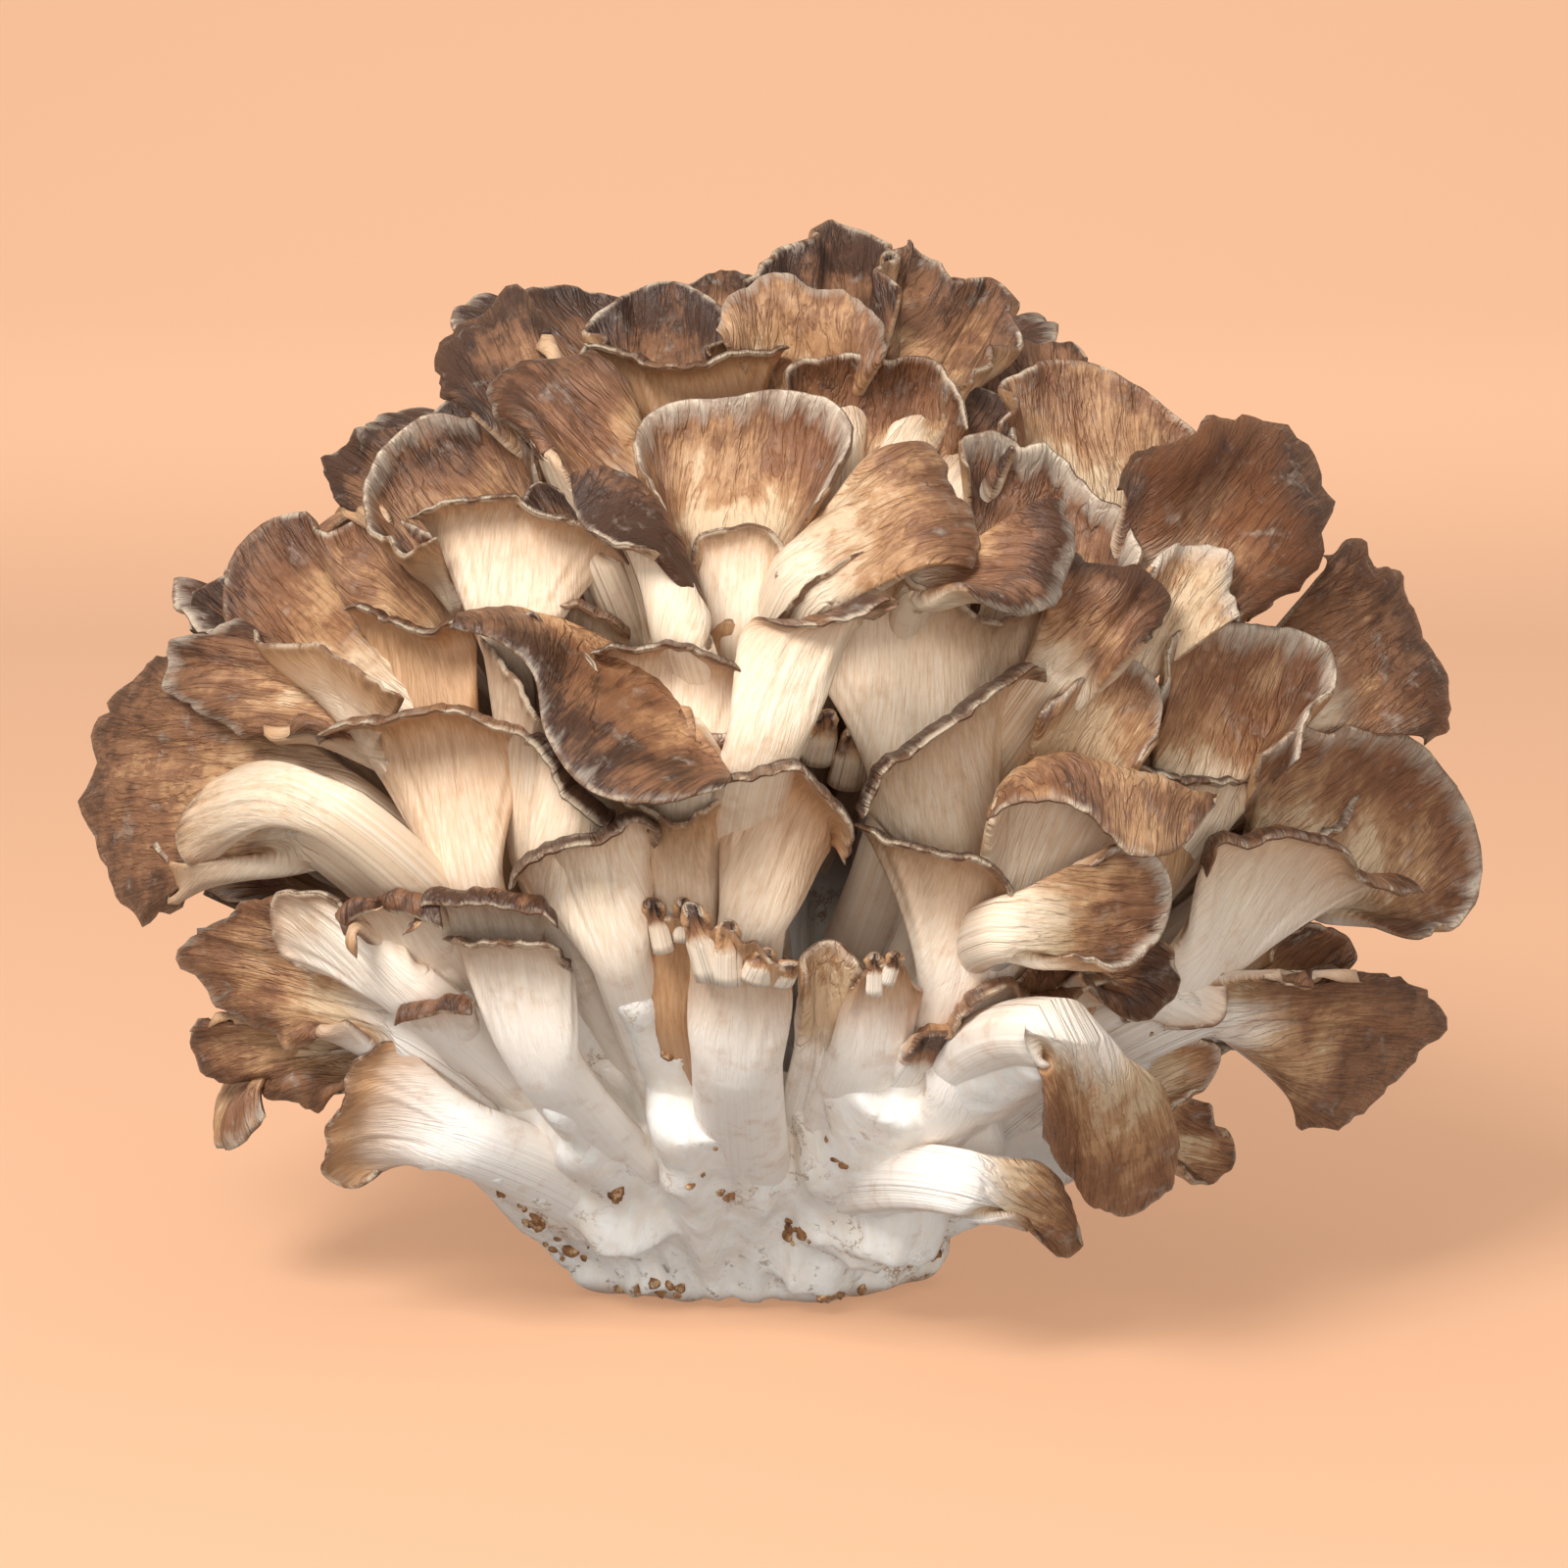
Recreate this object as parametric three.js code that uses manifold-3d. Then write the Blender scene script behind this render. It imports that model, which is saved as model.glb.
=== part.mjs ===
// Maitake (hen of the woods) cluster: one white foot that branches into many petal-like fronds.
// Millimetres, +Z up. Origin at the centre of the flat cut foot, +X to the right, +Y to the back.
import * as THREE from 'three';
import { mergeVertices } from 'three/addons/utils/BufferGeometryUtils.js';
import Module from 'manifold-3d';

const wasm = await Module();
wasm.setup();

// Driving dimensions
const footRadius = 22;
const trunkRadius = 34;
const trunkHeight = 84;
const trunkDepthShare = 0.86;
const trunkSides = 18;
const limbRadius = 4.6;
const limbSides = 5;
const neighbourGap = 0.3;
const stemWidth = 7.5;
const stemThicknessShare = 0.8;
const fleshThickness = 2.6;
const fanStart = 0.2;

// Back of the cluster: rows of forks, from the lowest to the highest, spread between two bearings in degrees.
// A cap whose swing lies above the droop mark rises and shows its pale side, the others bend over.
const backDepthShare = 0.9;
const backShift = 4;
const backRows = [
  { height: 34, reach: 78, forks: 4, from: -8, to: 190, width: 33, droop: -0.1 },
  { height: 60, reach: 88, forks: 4, from: -14, to: 192, width: 38, droop: -0.4 },
  { height: 87, reach: 82, forks: 4, from: -4, to: 182, width: 38, droop: 0.1 },
  { height: 109, reach: 66, forks: 3, from: 2, to: 176, width: 36, droop: -0.3 },
  { height: 126, reach: 44, forks: 2, from: 20, to: 160, width: 32, droop: 0.3 },
];
const capDefaults = {
  width: 24, stem: stemWidth, cup: 15, lip: 2, wave: 1.2, waves: 2.5, phase: 0, flare: 1.8, round: 64,
};

// Fronds of the front, the sides and the top. Each grows from one root on the trunk. A cap's middle line
// bends from the root by the knee to the rim, and face is the way its brown upper side looks.
const fronds = [
  {
    name: 'top_middle',
    root: [8, 8, 90],
    caps: [
      { knee: [11, 2, 130], rim: [10, 28, 148], face: [-0.1, -1, 0.47], width: 28,
        cup: 18, lip: 2, wave: 1.6, waves: 3, phase: 1 },
      { knee: [8, -10, 135], rim: [6, 7, 141], face: [0, -1, 0.62], width: 28,
        cup: 25, lip: 3, wave: 1.5, phase: 2 },
    ],
  },
  {
    name: 'top_right',
    root: [12, 6, 85],
    caps: [
      { knee: [24, 0, 127], rim: [31, 26, 141], face: [0.2, -1, 0.42], width: 32,
        cup: 8, wave: 2, waves: 3, phase: 0.5 },
    ],
  },
  {
    name: 'top_left',
    root: [-3, 10, 85],
    caps: [
      { knee: [-13, 8, 126], rim: [-15, 36, 138], face: [-0.1, -1, 0.52], width: 26,
        wave: 2, waves: 3.5, phase: 2.5 },
      { knee: [-5, 26, 128], rim: [-6, 50, 135], face: [0, -1, 0.52], width: 20, wave: 1, waves: 3 },
    ],
  },
  {
    name: 'top_left_curl',
    root: [-8, 6, 78],
    caps: [
      { knee: [-29, 0, 126], rim: [-37, 18, 137], face: [-0.3, -0.9, 0.62], width: 30,
        cup: 10, lip: 3, wave: 2, phase: 4 },
    ],
  },
  {
    name: 'top_cup',
    root: [2, 2, 74],
    caps: [
      { knee: [-8, -12, 125], rim: [-9, -8, 134], face: [0, 0.6, 0.8], width: 32,
        lip: 3, wave: 1.6, waves: 2, phase: 1, cup: 20 },
    ],
  },
  {
    name: 'top_fan',
    root: [8, 2, 72],
    caps: [
      { knee: [14, -16, 122], rim: [17, 1, 131], face: [0.1, -1, 0.52], width: 31,
        cup: 8, wave: 1.3, phase: 3, lip: 2 },
    ],
  },
  {
    name: 'crown_spoon',
    root: [0, -8, 66],
    caps: [
      { knee: [-5, -38, 118], rim: [1, -17, 128], face: [0, -1, 0.42], width: 34,
        round: 75, cup: 12, wave: 0.7, lip: 1, flare: 1.4 },
    ],
  },
  {
    name: 'crown_tongue',
    root: [-3, -4, 68],
    caps: [
      { knee: [-21, -24, 125], rim: [-32, -5, 130], face: [0.5, -0.6, 0.92], width: 26,
        cup: -25, lip: 2, wave: 0.8 },
    ],
  },
  {
    name: 'crown_right',
    root: [18, 4, 66],
    caps: [
      { knee: [42, -2, 117], rim: [48, 22, 129], face: [0.3, -0.9, 0.52], width: 34,
        wave: 1.8, waves: 3, phase: 0.3 },
      { knee: [38, 14, 120], rim: [40, 38, 129], face: [0.2, -0.9, 0.52], width: 22, wave: 1.4, waves: 3 },
    ],
  },
  {
    name: 'upper_ribbon',
    root: [4, -16, 56],
    caps: [
      { knee: [11, -36, 113], rim: [23, -23, 121], face: [-0.3, -0.8, 0.72], width: 18,
        wave: 0.6, cup: -15 },
      { knee: [30, -8, 121], rim: [32, 5, 126], face: [0.1, -1, 0.52], width: 12, wave: 0.5 },
    ],
  },
  {
    name: 'left_trumpet',
    root: [-12, -15, 50],
    caps: [
      { knee: [-32, -40, 107], rim: [-35, -48, 118], face: [0.1, 0.5, 0.8], width: 38,
        lip: 6, cup: 35, wave: 1, stem: 10 },
      { knee: [-36, -26, 114], rim: [-43, -7, 124], face: [0.1, -0.8, 0.72], width: 28,
        cup: 20, wave: 1.2 },
    ],
  },
  {
    name: 'upper_curl',
    root: [-6, -24, 50],
    caps: [
      { knee: [-11, -46, 111], rim: [-20, -54, 119], face: [0.5, -0.5, 0.9], width: 24,
        cup: -25, lip: 4, wave: 0.6, stem: 9 },
      { knee: [-3, -36, 103], rim: [0, -36, 113], face: [0, 0.8, 0.6], width: 15, wave: 0.4, cup: 10 },
    ],
  },
  {
    name: 'upper_shell',
    root: [20, -10, 54],
    caps: [
      { knee: [38, -30, 109], rim: [42, -15, 119], face: [0.1, -1, 0.52], width: 30,
        cup: 22, wave: 1.8, waves: 3.2 },
      { knee: [31, -38, 113], rim: [29, -36, 123], face: [0.9, -0.4, 0.3], width: 18, cup: 25, wave: 0.4 },
    ],
  },
  {
    name: 'right_dome',
    root: [28, -5, 54],
    caps: [
      { knee: [58, -22, 111], rim: [71, -3, 119], face: [0.3, -0.85, 0.55], width: 40,
        cup: -28, round: 75, wave: 0.8, lip: 1, flare: 1.4 },
    ],
  },
  {
    name: 'right_far',
    root: [34, 0, 44],
    caps: [
      { knee: [77, -12, 91], rim: [92, 7, 97], face: [0.6, -0.75, 0.4], width: 44,
        wave: 1.2, round: 70, waves: 3, flare: 1.5, cup: -16 },
    ],
  },
  {
    name: 'right_fold',
    root: [26, -16, 48],
    caps: [
      { knee: [56, -34, 100], rim: [62, -32, 110], face: [0.4, 0.3, 0.8], width: 16, cup: 30, wave: 1 },
      { knee: [44, -44, 98], rim: [50, -31, 106], face: [0.2, -0.9, 0.62], width: 20, wave: 1 },
      { knee: [42, -48, 85], rim: [49, -37, 94], face: [0.2, -0.9, 0.62], width: 22, wave: 0.6 },
    ],
  },
  {
    name: 'left_funnel',
    root: [-24, -12, 45],
    caps: [
      { knee: [-49, -34, 97], rim: [-63, -13, 106], face: [0.2, -0.8, 0.72], width: 42,
        cup: 28, lip: 4, wave: 1, round: 70, flare: 1.5 },
      { knee: [-66, -10, 90], rim: [-78, 5, 97], face: [-0.5, -0.8, 0.4], width: 28, wave: 1.6, waves: 3 },
      { knee: [-48, -2, 114], rim: [-57, 14, 118], face: [-0.4, -0.8, 0.62], width: 20, wave: 1.5 },
    ],
  },
  {
    name: 'left_lobed',
    root: [-28, -15, 42],
    caps: [
      { knee: [-63, -34, 91], rim: [-77, -25, 89], face: [-0.1, -0.6, 0.92], width: 28,
        wave: 2, waves: 3, phase: 1 },
    ],
  },
  {
    name: 'left_shade',
    root: [-22, -18, 45],
    caps: [
      { knee: [-42, -38, 90], rim: [-45, -42, 101], face: [0.1, 0.5, 0.9], width: 22, lip: 3, wave: 0.8 },
      { knee: [-24, -42, 93], rim: [-24, -33, 101], face: [0, -0.8, 0.62], width: 18, wave: 0.5 },
    ],
  },
  {
    name: 'left_outer',
    root: [-32, -6, 38],
    caps: [
      { knee: [-68, -20, 75], rim: [-90, -1, 71], face: [-0.5, -0.8, 0.4], width: 48,
        wave: 1.8, waves: 3.5, cup: -12, round: 70, flare: 1.4 },
    ],
  },
  {
    name: 'left_arm',
    root: [-25, -24, 34],
    caps: [
      { knee: [-48, -46, 80], rim: [-74, -46, 72], face: [0.1, 0.7, 0.7], width: 17,
        stem: 10, lip: 1, wave: 0.5, cup: 15 },
    ],
  },
  {
    name: 'left_bell',
    root: [-22, -26, 32],
    caps: [
      { knee: [-36, -56, 81], rim: [-43, -64, 92], face: [-0.1, 0.5, 0.9], width: 36,
        stem: 10, lip: 6, cup: 30, wave: 0.8 },
    ],
  },
  {
    name: 'middle_leaf',
    root: [-12, -26, 44],
    caps: [
      { knee: [-17, -54, 97], rim: [-23, -74, 88], face: [0.4, -0.5, 0.8], width: 36,
        cup: 10, lip: 1, wave: 1, stem: 10, round: 50 },
    ],
  },
  {
    name: 'middle_bell',
    root: [2, -30, 32],
    caps: [
      { knee: [4, -62, 73], rim: [3, -74, 86], face: [0, 0.4, 0.9], width: 26,
        stem: 10, lip: 6, cup: 40, wave: 0.5 },
    ],
  },
  {
    name: 'middle_small',
    root: [-6, -28, 34],
    caps: [
      { knee: [-12, -52, 70], rim: [-12, -62, 81], face: [0, 0.5, 0.9], width: 20, stem: 8, cup: 20 },
      { knee: [-26, -56, 75], rim: [-27, -60, 85], face: [0.3, 0.5, 0.9], width: 12,
        cup: -20, stem: 6, wave: 0.3, lip: 3 },
    ],
  },
  {
    name: 'middle_cap',
    root: [-5, -28, 45],
    caps: [
      { knee: [-9, -52, 89], rim: [-10, -62, 101], face: [0.1, 0.5, 0.9], width: 24,
        lip: 4, cup: 30, wave: 0.6 },
      { knee: [-4, -52, 80], rim: [-4, -51, 86], face: [0, -0.6, 0.92], width: 15, wave: 0.4 },
      { knee: [6, -48, 93], rim: [16, -56, 106], face: [-0.5, 0.3, 0.8], width: 16, wave: 0.6, cup: 10 },
    ],
  },
  {
    name: 'middle_trumpet',
    root: [18, -24, 46],
    caps: [
      { knee: [23, -50, 96], rim: [25, -64, 109], face: [0, 0.4, 0.9], width: 44,
        stem: 12, lip: 6, cup: 35, wave: 2, waves: 2.2, phase: 1 },
      { knee: [32, -48, 105], rim: [39, -41, 111], face: [0.2, -0.7, 0.82], width: 16, wave: 1 },
    ],
  },
  {
    name: 'right_fan',
    root: [28, -18, 42],
    caps: [
      { knee: [60, -40, 86], rim: [69, -27, 97], face: [0.1, -0.9, 0.62], width: 32,
        wave: 1, waves: 2.5, phase: 3 },
      { knee: [55, -42, 72], rim: [58, -46, 81], face: [0, 0.6, 0.8], width: 22,
        lip: 3, wave: 1.2, waves: 3 },
    ],
  },
  {
    name: 'right_wing',
    root: [10, -28, 38],
    caps: [
      { knee: [26, -60, 79], rim: [28, -68, 93], face: [-0.5, 0.4, 0.8], width: 26,
        stem: 10, lip: 4, cup: 25, wave: 0.5 },
    ],
  },
  {
    name: 'right_lipped',
    root: [18, -28, 38],
    caps: [
      { knee: [41, -58, 75], rim: [48, -64, 83], face: [0.1, 0.5, 0.9], width: 30,
        stem: 9, lip: 6, cup: 25, wave: 0.8 },
    ],
  },
  {
    name: 'right_ear',
    root: [38, -12, 36],
    caps: [
      { knee: [80, -38, 70], rim: [91, -21, 76], face: [0.35, -0.85, 0.5], width: 44,
        wave: 1, waves: 3, round: 75, flare: 1.5, cup: 8 },
      { knee: [71, -26, 52], rim: [81, -13, 50], face: [0, -0.8, 0.72], width: 16, wave: 0.5 },
    ],
  },
  {
    name: 'right_bell',
    root: [34, -22, 32],
    caps: [
      { knee: [66, -50, 64], rim: [73, -60, 73], face: [0.2, 0.4, 0.9], width: 30,
        stem: 9, lip: 5, cup: 30, wave: 0.6 },
    ],
  },
  {
    name: 'front_bell',
    root: [12, -30, 28],
    caps: [
      { knee: [25, -62, 60], rim: [31, -76, 75], face: [0.3, 0.3, 0.9], width: 42,
        stem: 13, lip: 7, cup: 30, wave: 1.4, waves: 1.5 },
      { knee: [43, -64, 67], rim: [52, -59, 67], face: [-0.2, -0.7, 0.82], width: 20, wave: 0.6 },
    ],
  },
  {
    name: 'low_left_lobes',
    root: [-30, -12, 28],
    caps: [
      { knee: [-60, -30, 50], rim: [-76, -15, 48], face: [-0.1, -0.7, 0.82], width: 22,
        wave: 1.4, waves: 3 },
      { knee: [-62, -20, 37], rim: [-76, -3, 32], face: [-0.1, -0.8, 0.62], width: 17,
        wave: 1.2, waves: 3 },
      { knee: [-46, -32, 33], rim: [-57, -34, 31], face: [0.1, 0.4, 0.9], width: 19, wave: 0.8 },
    ],
  },
  {
    name: 'low_left_pale',
    root: [-28, -24, 28],
    caps: [
      { knee: [-53, -48, 56], rim: [-62, -50, 63], face: [0.1, 0.7, 0.7], width: 15, wave: 0.4 },
      { knee: [-43, -56, 56], rim: [-50, -60, 62], face: [-0.3, -0.3, 0.9], width: 16,
        wave: 1.5, waves: 3 },
    ],
  },
  {
    name: 'low_stump',
    root: [-16, -28, 20],
    caps: [
      { knee: [-31, -58, 54], rim: [-35, -66, 64], face: [-0.1, 0.2, 1], width: 22,
        stem: 13, lip: 5, cup: 20, wave: 1 },
    ],
  },
  {
    name: 'front_horn',
    root: [-10, -28, 20],
    caps: [
      { knee: [-16, -66, 62], rim: [-22, -74, 76], face: [-0.3, 0.2, 1], width: 24,
        stem: 11, lip: 5, cup: 25, wave: 0.5 },
    ],
  },
  {
    name: 'front_stump',
    root: [-2, -30, 18],
    caps: [
      { knee: [-2, -60, 54], rim: [0, -66, 65], face: [0, 0.3, 1], width: 16,
        stem: 13, cup: 30, wave: 0.8, waves: 4 },
    ],
  },
  {
    name: 'low_curl',
    root: [24, -28, 20],
    caps: [
      { knee: [30, -60, 49], rim: [37, -66, 56], face: [0, 0.4, 0.9], width: 24, wave: 1.2, lip: 3 },
      { knee: [45, -56, 53], rim: [54, -60, 55], face: [0, -0.5, 0.9], width: 14, wave: 0.5 },
    ],
  },
  {
    name: 'low_tongue',
    root: [24, -24, 22],
    caps: [
      { knee: [45, -58, 53], rim: [52, -66, 28], face: [0.3, -0.9, 0.3], width: 19,
        wave: 0.5, stem: 9, cup: -15, round: 70, flare: 1 },
      { knee: [32, -50, 32], rim: [42, -56, 20], face: [0.2, -0.5, 0.9], width: 13,
        wave: 0.5, stem: 8, flare: 1 },
    ],
  },
  {
    name: 'low_right_fan',
    root: [35, -14, 28],
    caps: [
      { knee: [71, -32, 48], rim: [87, -17, 35], face: [0.45, -0.8, 0.45], width: 35,
        wave: 1.2, waves: 3 },
    ],
  },
  {
    name: 'low_right_pale',
    root: [32, -18, 24],
    caps: [
      { knee: [55, -40, 45], rim: [62, -44, 48], face: [0, 0.4, 0.9], width: 14, wave: 0.6 },
      { knee: [59, -32, 34], rim: [64, -17, 21], face: [0.1, -0.8, 0.62], width: 16, wave: 1.2 },
    ],
  },
];

const clamp01 = (value) => Math.min(1, Math.max(0, value));
const smoothStep = (value) => {
  const t = clamp01(value);
  return t * t * (3 - 2 * t);
};

// Middle line of a cap, with its direction and its upper side's normal at each step of its length
function middleLine(root, cap) {
  const curve = new THREE.QuadraticBezierCurve3(
    new THREE.Vector3(...root), new THREE.Vector3(...cap.knee), new THREE.Vector3(...cap.rim));
  const steps = 24;
  const faceStep = 17;
  const points = curve.getSpacedPoints(steps);
  const tangents = points.map((_, i) => curve.getTangentAt(i / steps));
  const square = (normal, i) =>
    normal.clone().addScaledVector(tangents[i], -normal.dot(tangents[i])).normalize();
  const normals = [];
  normals[faceStep] = square(new THREE.Vector3(...cap.face), faceStep);
  for (let i = faceStep + 1; i <= steps; i++) normals[i] = square(normals[i - 1], i);
  for (let i = faceStep - 1; i >= 0; i--) normals[i] = square(normals[i + 1], i);
  return { steps, points, tangents, normals, length: curve.getLength() };
}

// Point on the middle line at a distance from the root; past the rim it runs straight on
function along(line, distance) {
  const place = Math.min(line.length, Math.max(0, distance)) / line.length * line.steps;
  const i = Math.min(line.steps - 1, Math.floor(place));
  const t = place - i;
  const mix = (list) => list[i].clone().lerp(list[i + 1], t);
  const tangent = mix(line.tangents).normalize();
  const normal = mix(line.normals);
  normal.addScaledVector(tangent, -normal.dot(tangent)).normalize();
  const point = mix(line.points).addScaledVector(tangent, Math.max(0, distance - line.length));
  return { point, tangent, normal, side: new THREE.Vector3().crossVectors(tangent, normal) };
}

// Middle surface of a cap: u runs from the root to the rim, v from -1 to 1 across it
function capSurface(line, cap, u, v) {
  const width = cap.stem + (cap.width - cap.stem) * u ** cap.flare;
  const arc = THREE.MathUtils.degToRad(cap.round);
  const fan = smoothStep((u - fanStart) / 0.7);
  const cup = THREE.MathUtils.degToRad(cap.cup) * fan + 1e-4;
  const inset = fan * (1 - Math.cos(v * arc)) * width / (2 * Math.sin(arc));
  const at = along(line, u * line.length - inset);
  const angle = Math.sin(v * arc) / Math.sin(arc) * cup;
  const radius = width / 2 / cup;
  const ruffle = cap.wave * smoothStep((u - 0.5) / 0.5) * Math.sin(v * cap.waves * 2.5 + cap.phase);
  const lip = cap.lip * clamp01((u - 0.55) / 0.45) ** 2;
  const normal = at.normal.clone().multiplyScalar(Math.cos(angle));
  normal.addScaledVector(at.side, -Math.sin(angle));
  const point = at.point.addScaledVector(at.side, radius * Math.sin(angle));
  point.addScaledVector(at.normal, radius * (1 - Math.cos(angle)));
  point.addScaledVector(normal, ruffle - lip);
  const thin = smoothStep(u / 0.75);
  const stemHalf = cap.stem * stemThicknessShare / 2 * Math.sqrt(1 - v * v);
  const half = THREE.MathUtils.lerp(stemHalf, fleshThickness / 2 * (1 - 0.3 * u), thin);
  return { point, normal, half };
}

// Closed shell of a cap: an upper and a lower sheet that meet along the sides and the rim
function capGeometry(root, settings) {
  const cap = { ...capDefaults, ...settings };
  const line = middleLine(root, cap);
  const acrossCount = 4;
  const alongCount = cap.width > 22 ? 5 : 4;
  const positions = [];
  const addPoint = (point) => positions.push(point.x, point.y, point.z) / 3 - 1;
  const upper = [];
  const lower = [];
  for (let i = 0; i <= alongCount; i++) {
    upper.push([]);
    lower.push([]);
    const u = 1 - (1 - i / alongCount) ** 1.3;
    for (let j = 0; j <= acrossCount; j++) {
      const v = Math.sin((j / acrossCount - 0.5) * 3) / Math.sin(1.5);
      const { point, normal, half } = capSurface(line, cap, u, v);
      const edge = i === alongCount || j === 0 || j === acrossCount;
      const top = addPoint(point.clone().addScaledVector(normal, edge ? 0 : half));
      upper[i].push(top);
      lower[i].push(edge ? top : addPoint(point.addScaledVector(normal, -half)));
    }
  }
  const faces = [];
  const addQuad = (a, b, c, d) => {
    for (const face of [[a, b, c], [a, c, d]]) {
      if (new Set(face).size === 3) faces.push(...face);
    }
  };
  for (let i = 0; i < alongCount; i++) {
    for (let j = 0; j < acrossCount; j++) {
      addQuad(upper[i][j], upper[i][j + 1], upper[i + 1][j + 1], upper[i + 1][j]);
      addQuad(lower[i][j], lower[i + 1][j], lower[i + 1][j + 1], lower[i][j + 1]);
    }
  }
  for (let j = 0; j < acrossCount; j++) {
    addQuad(upper[0][j], lower[0][j], lower[0][j + 1], upper[0][j + 1]);
  }
  const geometry = new THREE.BufferGeometry();
  geometry.setAttribute('position', new THREE.Float32BufferAttribute(positions, 3));
  geometry.setIndex(faces);
  return geometry;
}

// One vertex at each place, and no triangle that has shrunk to a line
function welded(geometry) {
  const bare = geometry.clone();
  bare.deleteAttribute('normal');
  bare.deleteAttribute('uv');
  const whole = mergeVertices(bare, 1e-3);
  const kept = [];
  for (let i = 0; i < whole.index.count; i += 3) {
    const face = [...whole.index.array.slice(i, i + 3)];
    if (new Set(face).size === 3) kept.push(...face);
  }
  whole.setIndex(kept);
  return whole;
}

// The closed solid of a shape, with its skin moved out by a distance
function toSolid(geometry, distance = 0) {
  const shell = welded(geometry);
  shell.computeVertexNormals();
  const { position, normal } = shell.attributes;
  const vertices = position.array.map((value, i) => value + normal.array[i] * distance);
  return new wasm.Manifold(new wasm.Mesh({
    numProp: 3,
    vertProperties: vertices,
    triVerts: new Uint32Array(shell.index.array),
  }));
}

function toGeometry(solid) {
  const mesh = solid.getMesh();
  const geometry = new THREE.BufferGeometry();
  geometry.setAttribute('position', new THREE.Float32BufferAttribute(mesh.vertProperties, 3));
  geometry.setIndex(new THREE.Uint32BufferAttribute(mesh.triVerts, 1));
  return geometry;
}

const largestBody = (solid) => solid.decompose().reduce((a, b) => (a.volume() > b.volume() ? a : b));
const union = (solids) => solids.reduce((whole, solid) => whole.add(solid));

// Fronds of the back. Each fork carries two caps; reach, height, width and cup swing so that none stand alike
function backFronds() {
  const list = [];
  backRows.forEach((row, rowIndex) => {
    const capCount = row.forks * 2;
    const step = (row.to - row.from) / capCount;
    const direction = (degrees) => {
      const angle = THREE.MathUtils.degToRad(degrees);
      return [Math.cos(angle), Math.sin(angle) * backDepthShare];
    };
    for (let fork = 0; fork < row.forks; fork++) {
      const middle = direction(row.from + step * (2 * fork + 1));
      const caps = [];
      for (let k = 2 * fork; k < 2 * fork + 2; k++) {
        const swing = Math.sin(k * 2.4 + rowIndex * 1.7);
        const rises = swing > row.droop ? 1 : -1;
        const out = direction(row.from + step * (k + 0.5 + 0.15 * swing));
        const reach = row.reach * (1 + 0.06 * swing);
        const kneeReach = reach * (rises > 0 ? 0.82 : 0.76);
        caps.push({
          knee: [out[0] * kneeReach + backShift, out[1] * kneeReach, row.height - 13 * rises + 4 * swing],
          rim: [out[0] * reach + backShift, out[1] * reach, row.height + 8 * rises + 5 * swing],
          face: [-0.8 * rises * out[0], -0.8 * rises * out[1], 0.6],
          width: row.width * (1 + 0.14 * swing),
          cup: 10 + 20 * swing,
          lip: rises > 0 ? 5 : 1.5,
          wave: 1.6,
          phase: k * 1.9 + rowIndex,
          stem: 9,
        });
      }
      const rootReach = 27;
      list.push({
        name: `back_${rowIndex + 1}_${fork + 1}`,
        root: [middle[0] * rootReach, middle[1] * rootReach, 14 + row.height * 0.5],
        caps,
      });
    }
  });
  return list;
}

// Trunk: a flat cut foot that swells and closes at the top, a little flatter from front to back
function trunkGeometry() {
  const profile = [
    [0, 0], [footRadius, 0], [footRadius + 3, 5], [trunkRadius - 1, 18], [trunkRadius, 36],
    [trunkRadius - 5, 56], [trunkRadius - 16, 74], [0, trunkHeight],
  ];
  const points = profile.map(([radius, height]) => new THREE.Vector2(radius, height));
  const geometry = new THREE.LatheGeometry(points, trunkSides);
  geometry.rotateX(Math.PI / 2);
  geometry.scale(1, trunkDepthShare, 1);
  return geometry;
}

// Limb: a short tapered branch from inside the trunk to the root of a frond
function limbGeometry(root) {
  const end = new THREE.Vector3(...root);
  const start = new THREE.Vector3(root[0] * 0.45, root[1] * 0.45, Math.max(limbRadius * 2, root[2] - 16));
  const geometry = new THREE.CylinderGeometry(limbRadius, limbRadius * 1.5, start.distanceTo(end), limbSides);
  geometry.rotateX(Math.PI / 2);
  geometry.lookAt(end.clone().sub(start));
  const middle = start.lerp(end, 0.5);
  geometry.translate(middle.x, middle.y, middle.z);
  return geometry;
}

const flesh = new THREE.MeshStandardMaterial({ color: 0xf3e8d8, roughness: 0.75, metalness: 0 });
const capBrown = new THREE.MeshStandardMaterial({ color: 0x8a6a52, roughness: 0.8, metalness: 0 });
const capPale = new THREE.MeshStandardMaterial({ color: 0xc9ab8c, roughness: 0.8, metalness: 0 });

const cluster = new THREE.Group();
const placed = [];

// Adds a piece, cut back where it would touch the pieces already there
function place(name, solid, clearance, material) {
  const free = placed.reduce((rest, taken) => rest.subtract(taken), solid);
  const piece = largestBody(free);
  const mesh = new THREE.Mesh(toGeometry(piece), material);
  mesh.name = name;
  cluster.add(mesh);
  placed.push(clearance.add(solid));
}

const allFronds = [...fronds, ...backFronds()];
const baseShapes = [trunkGeometry(), ...allFronds.map((frond) => limbGeometry(frond.root))];
const base = (distance) => union(baseShapes.map((shape) => toSolid(shape, distance)));
place('base', base(0), base(neighbourGap), flesh);

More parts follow.
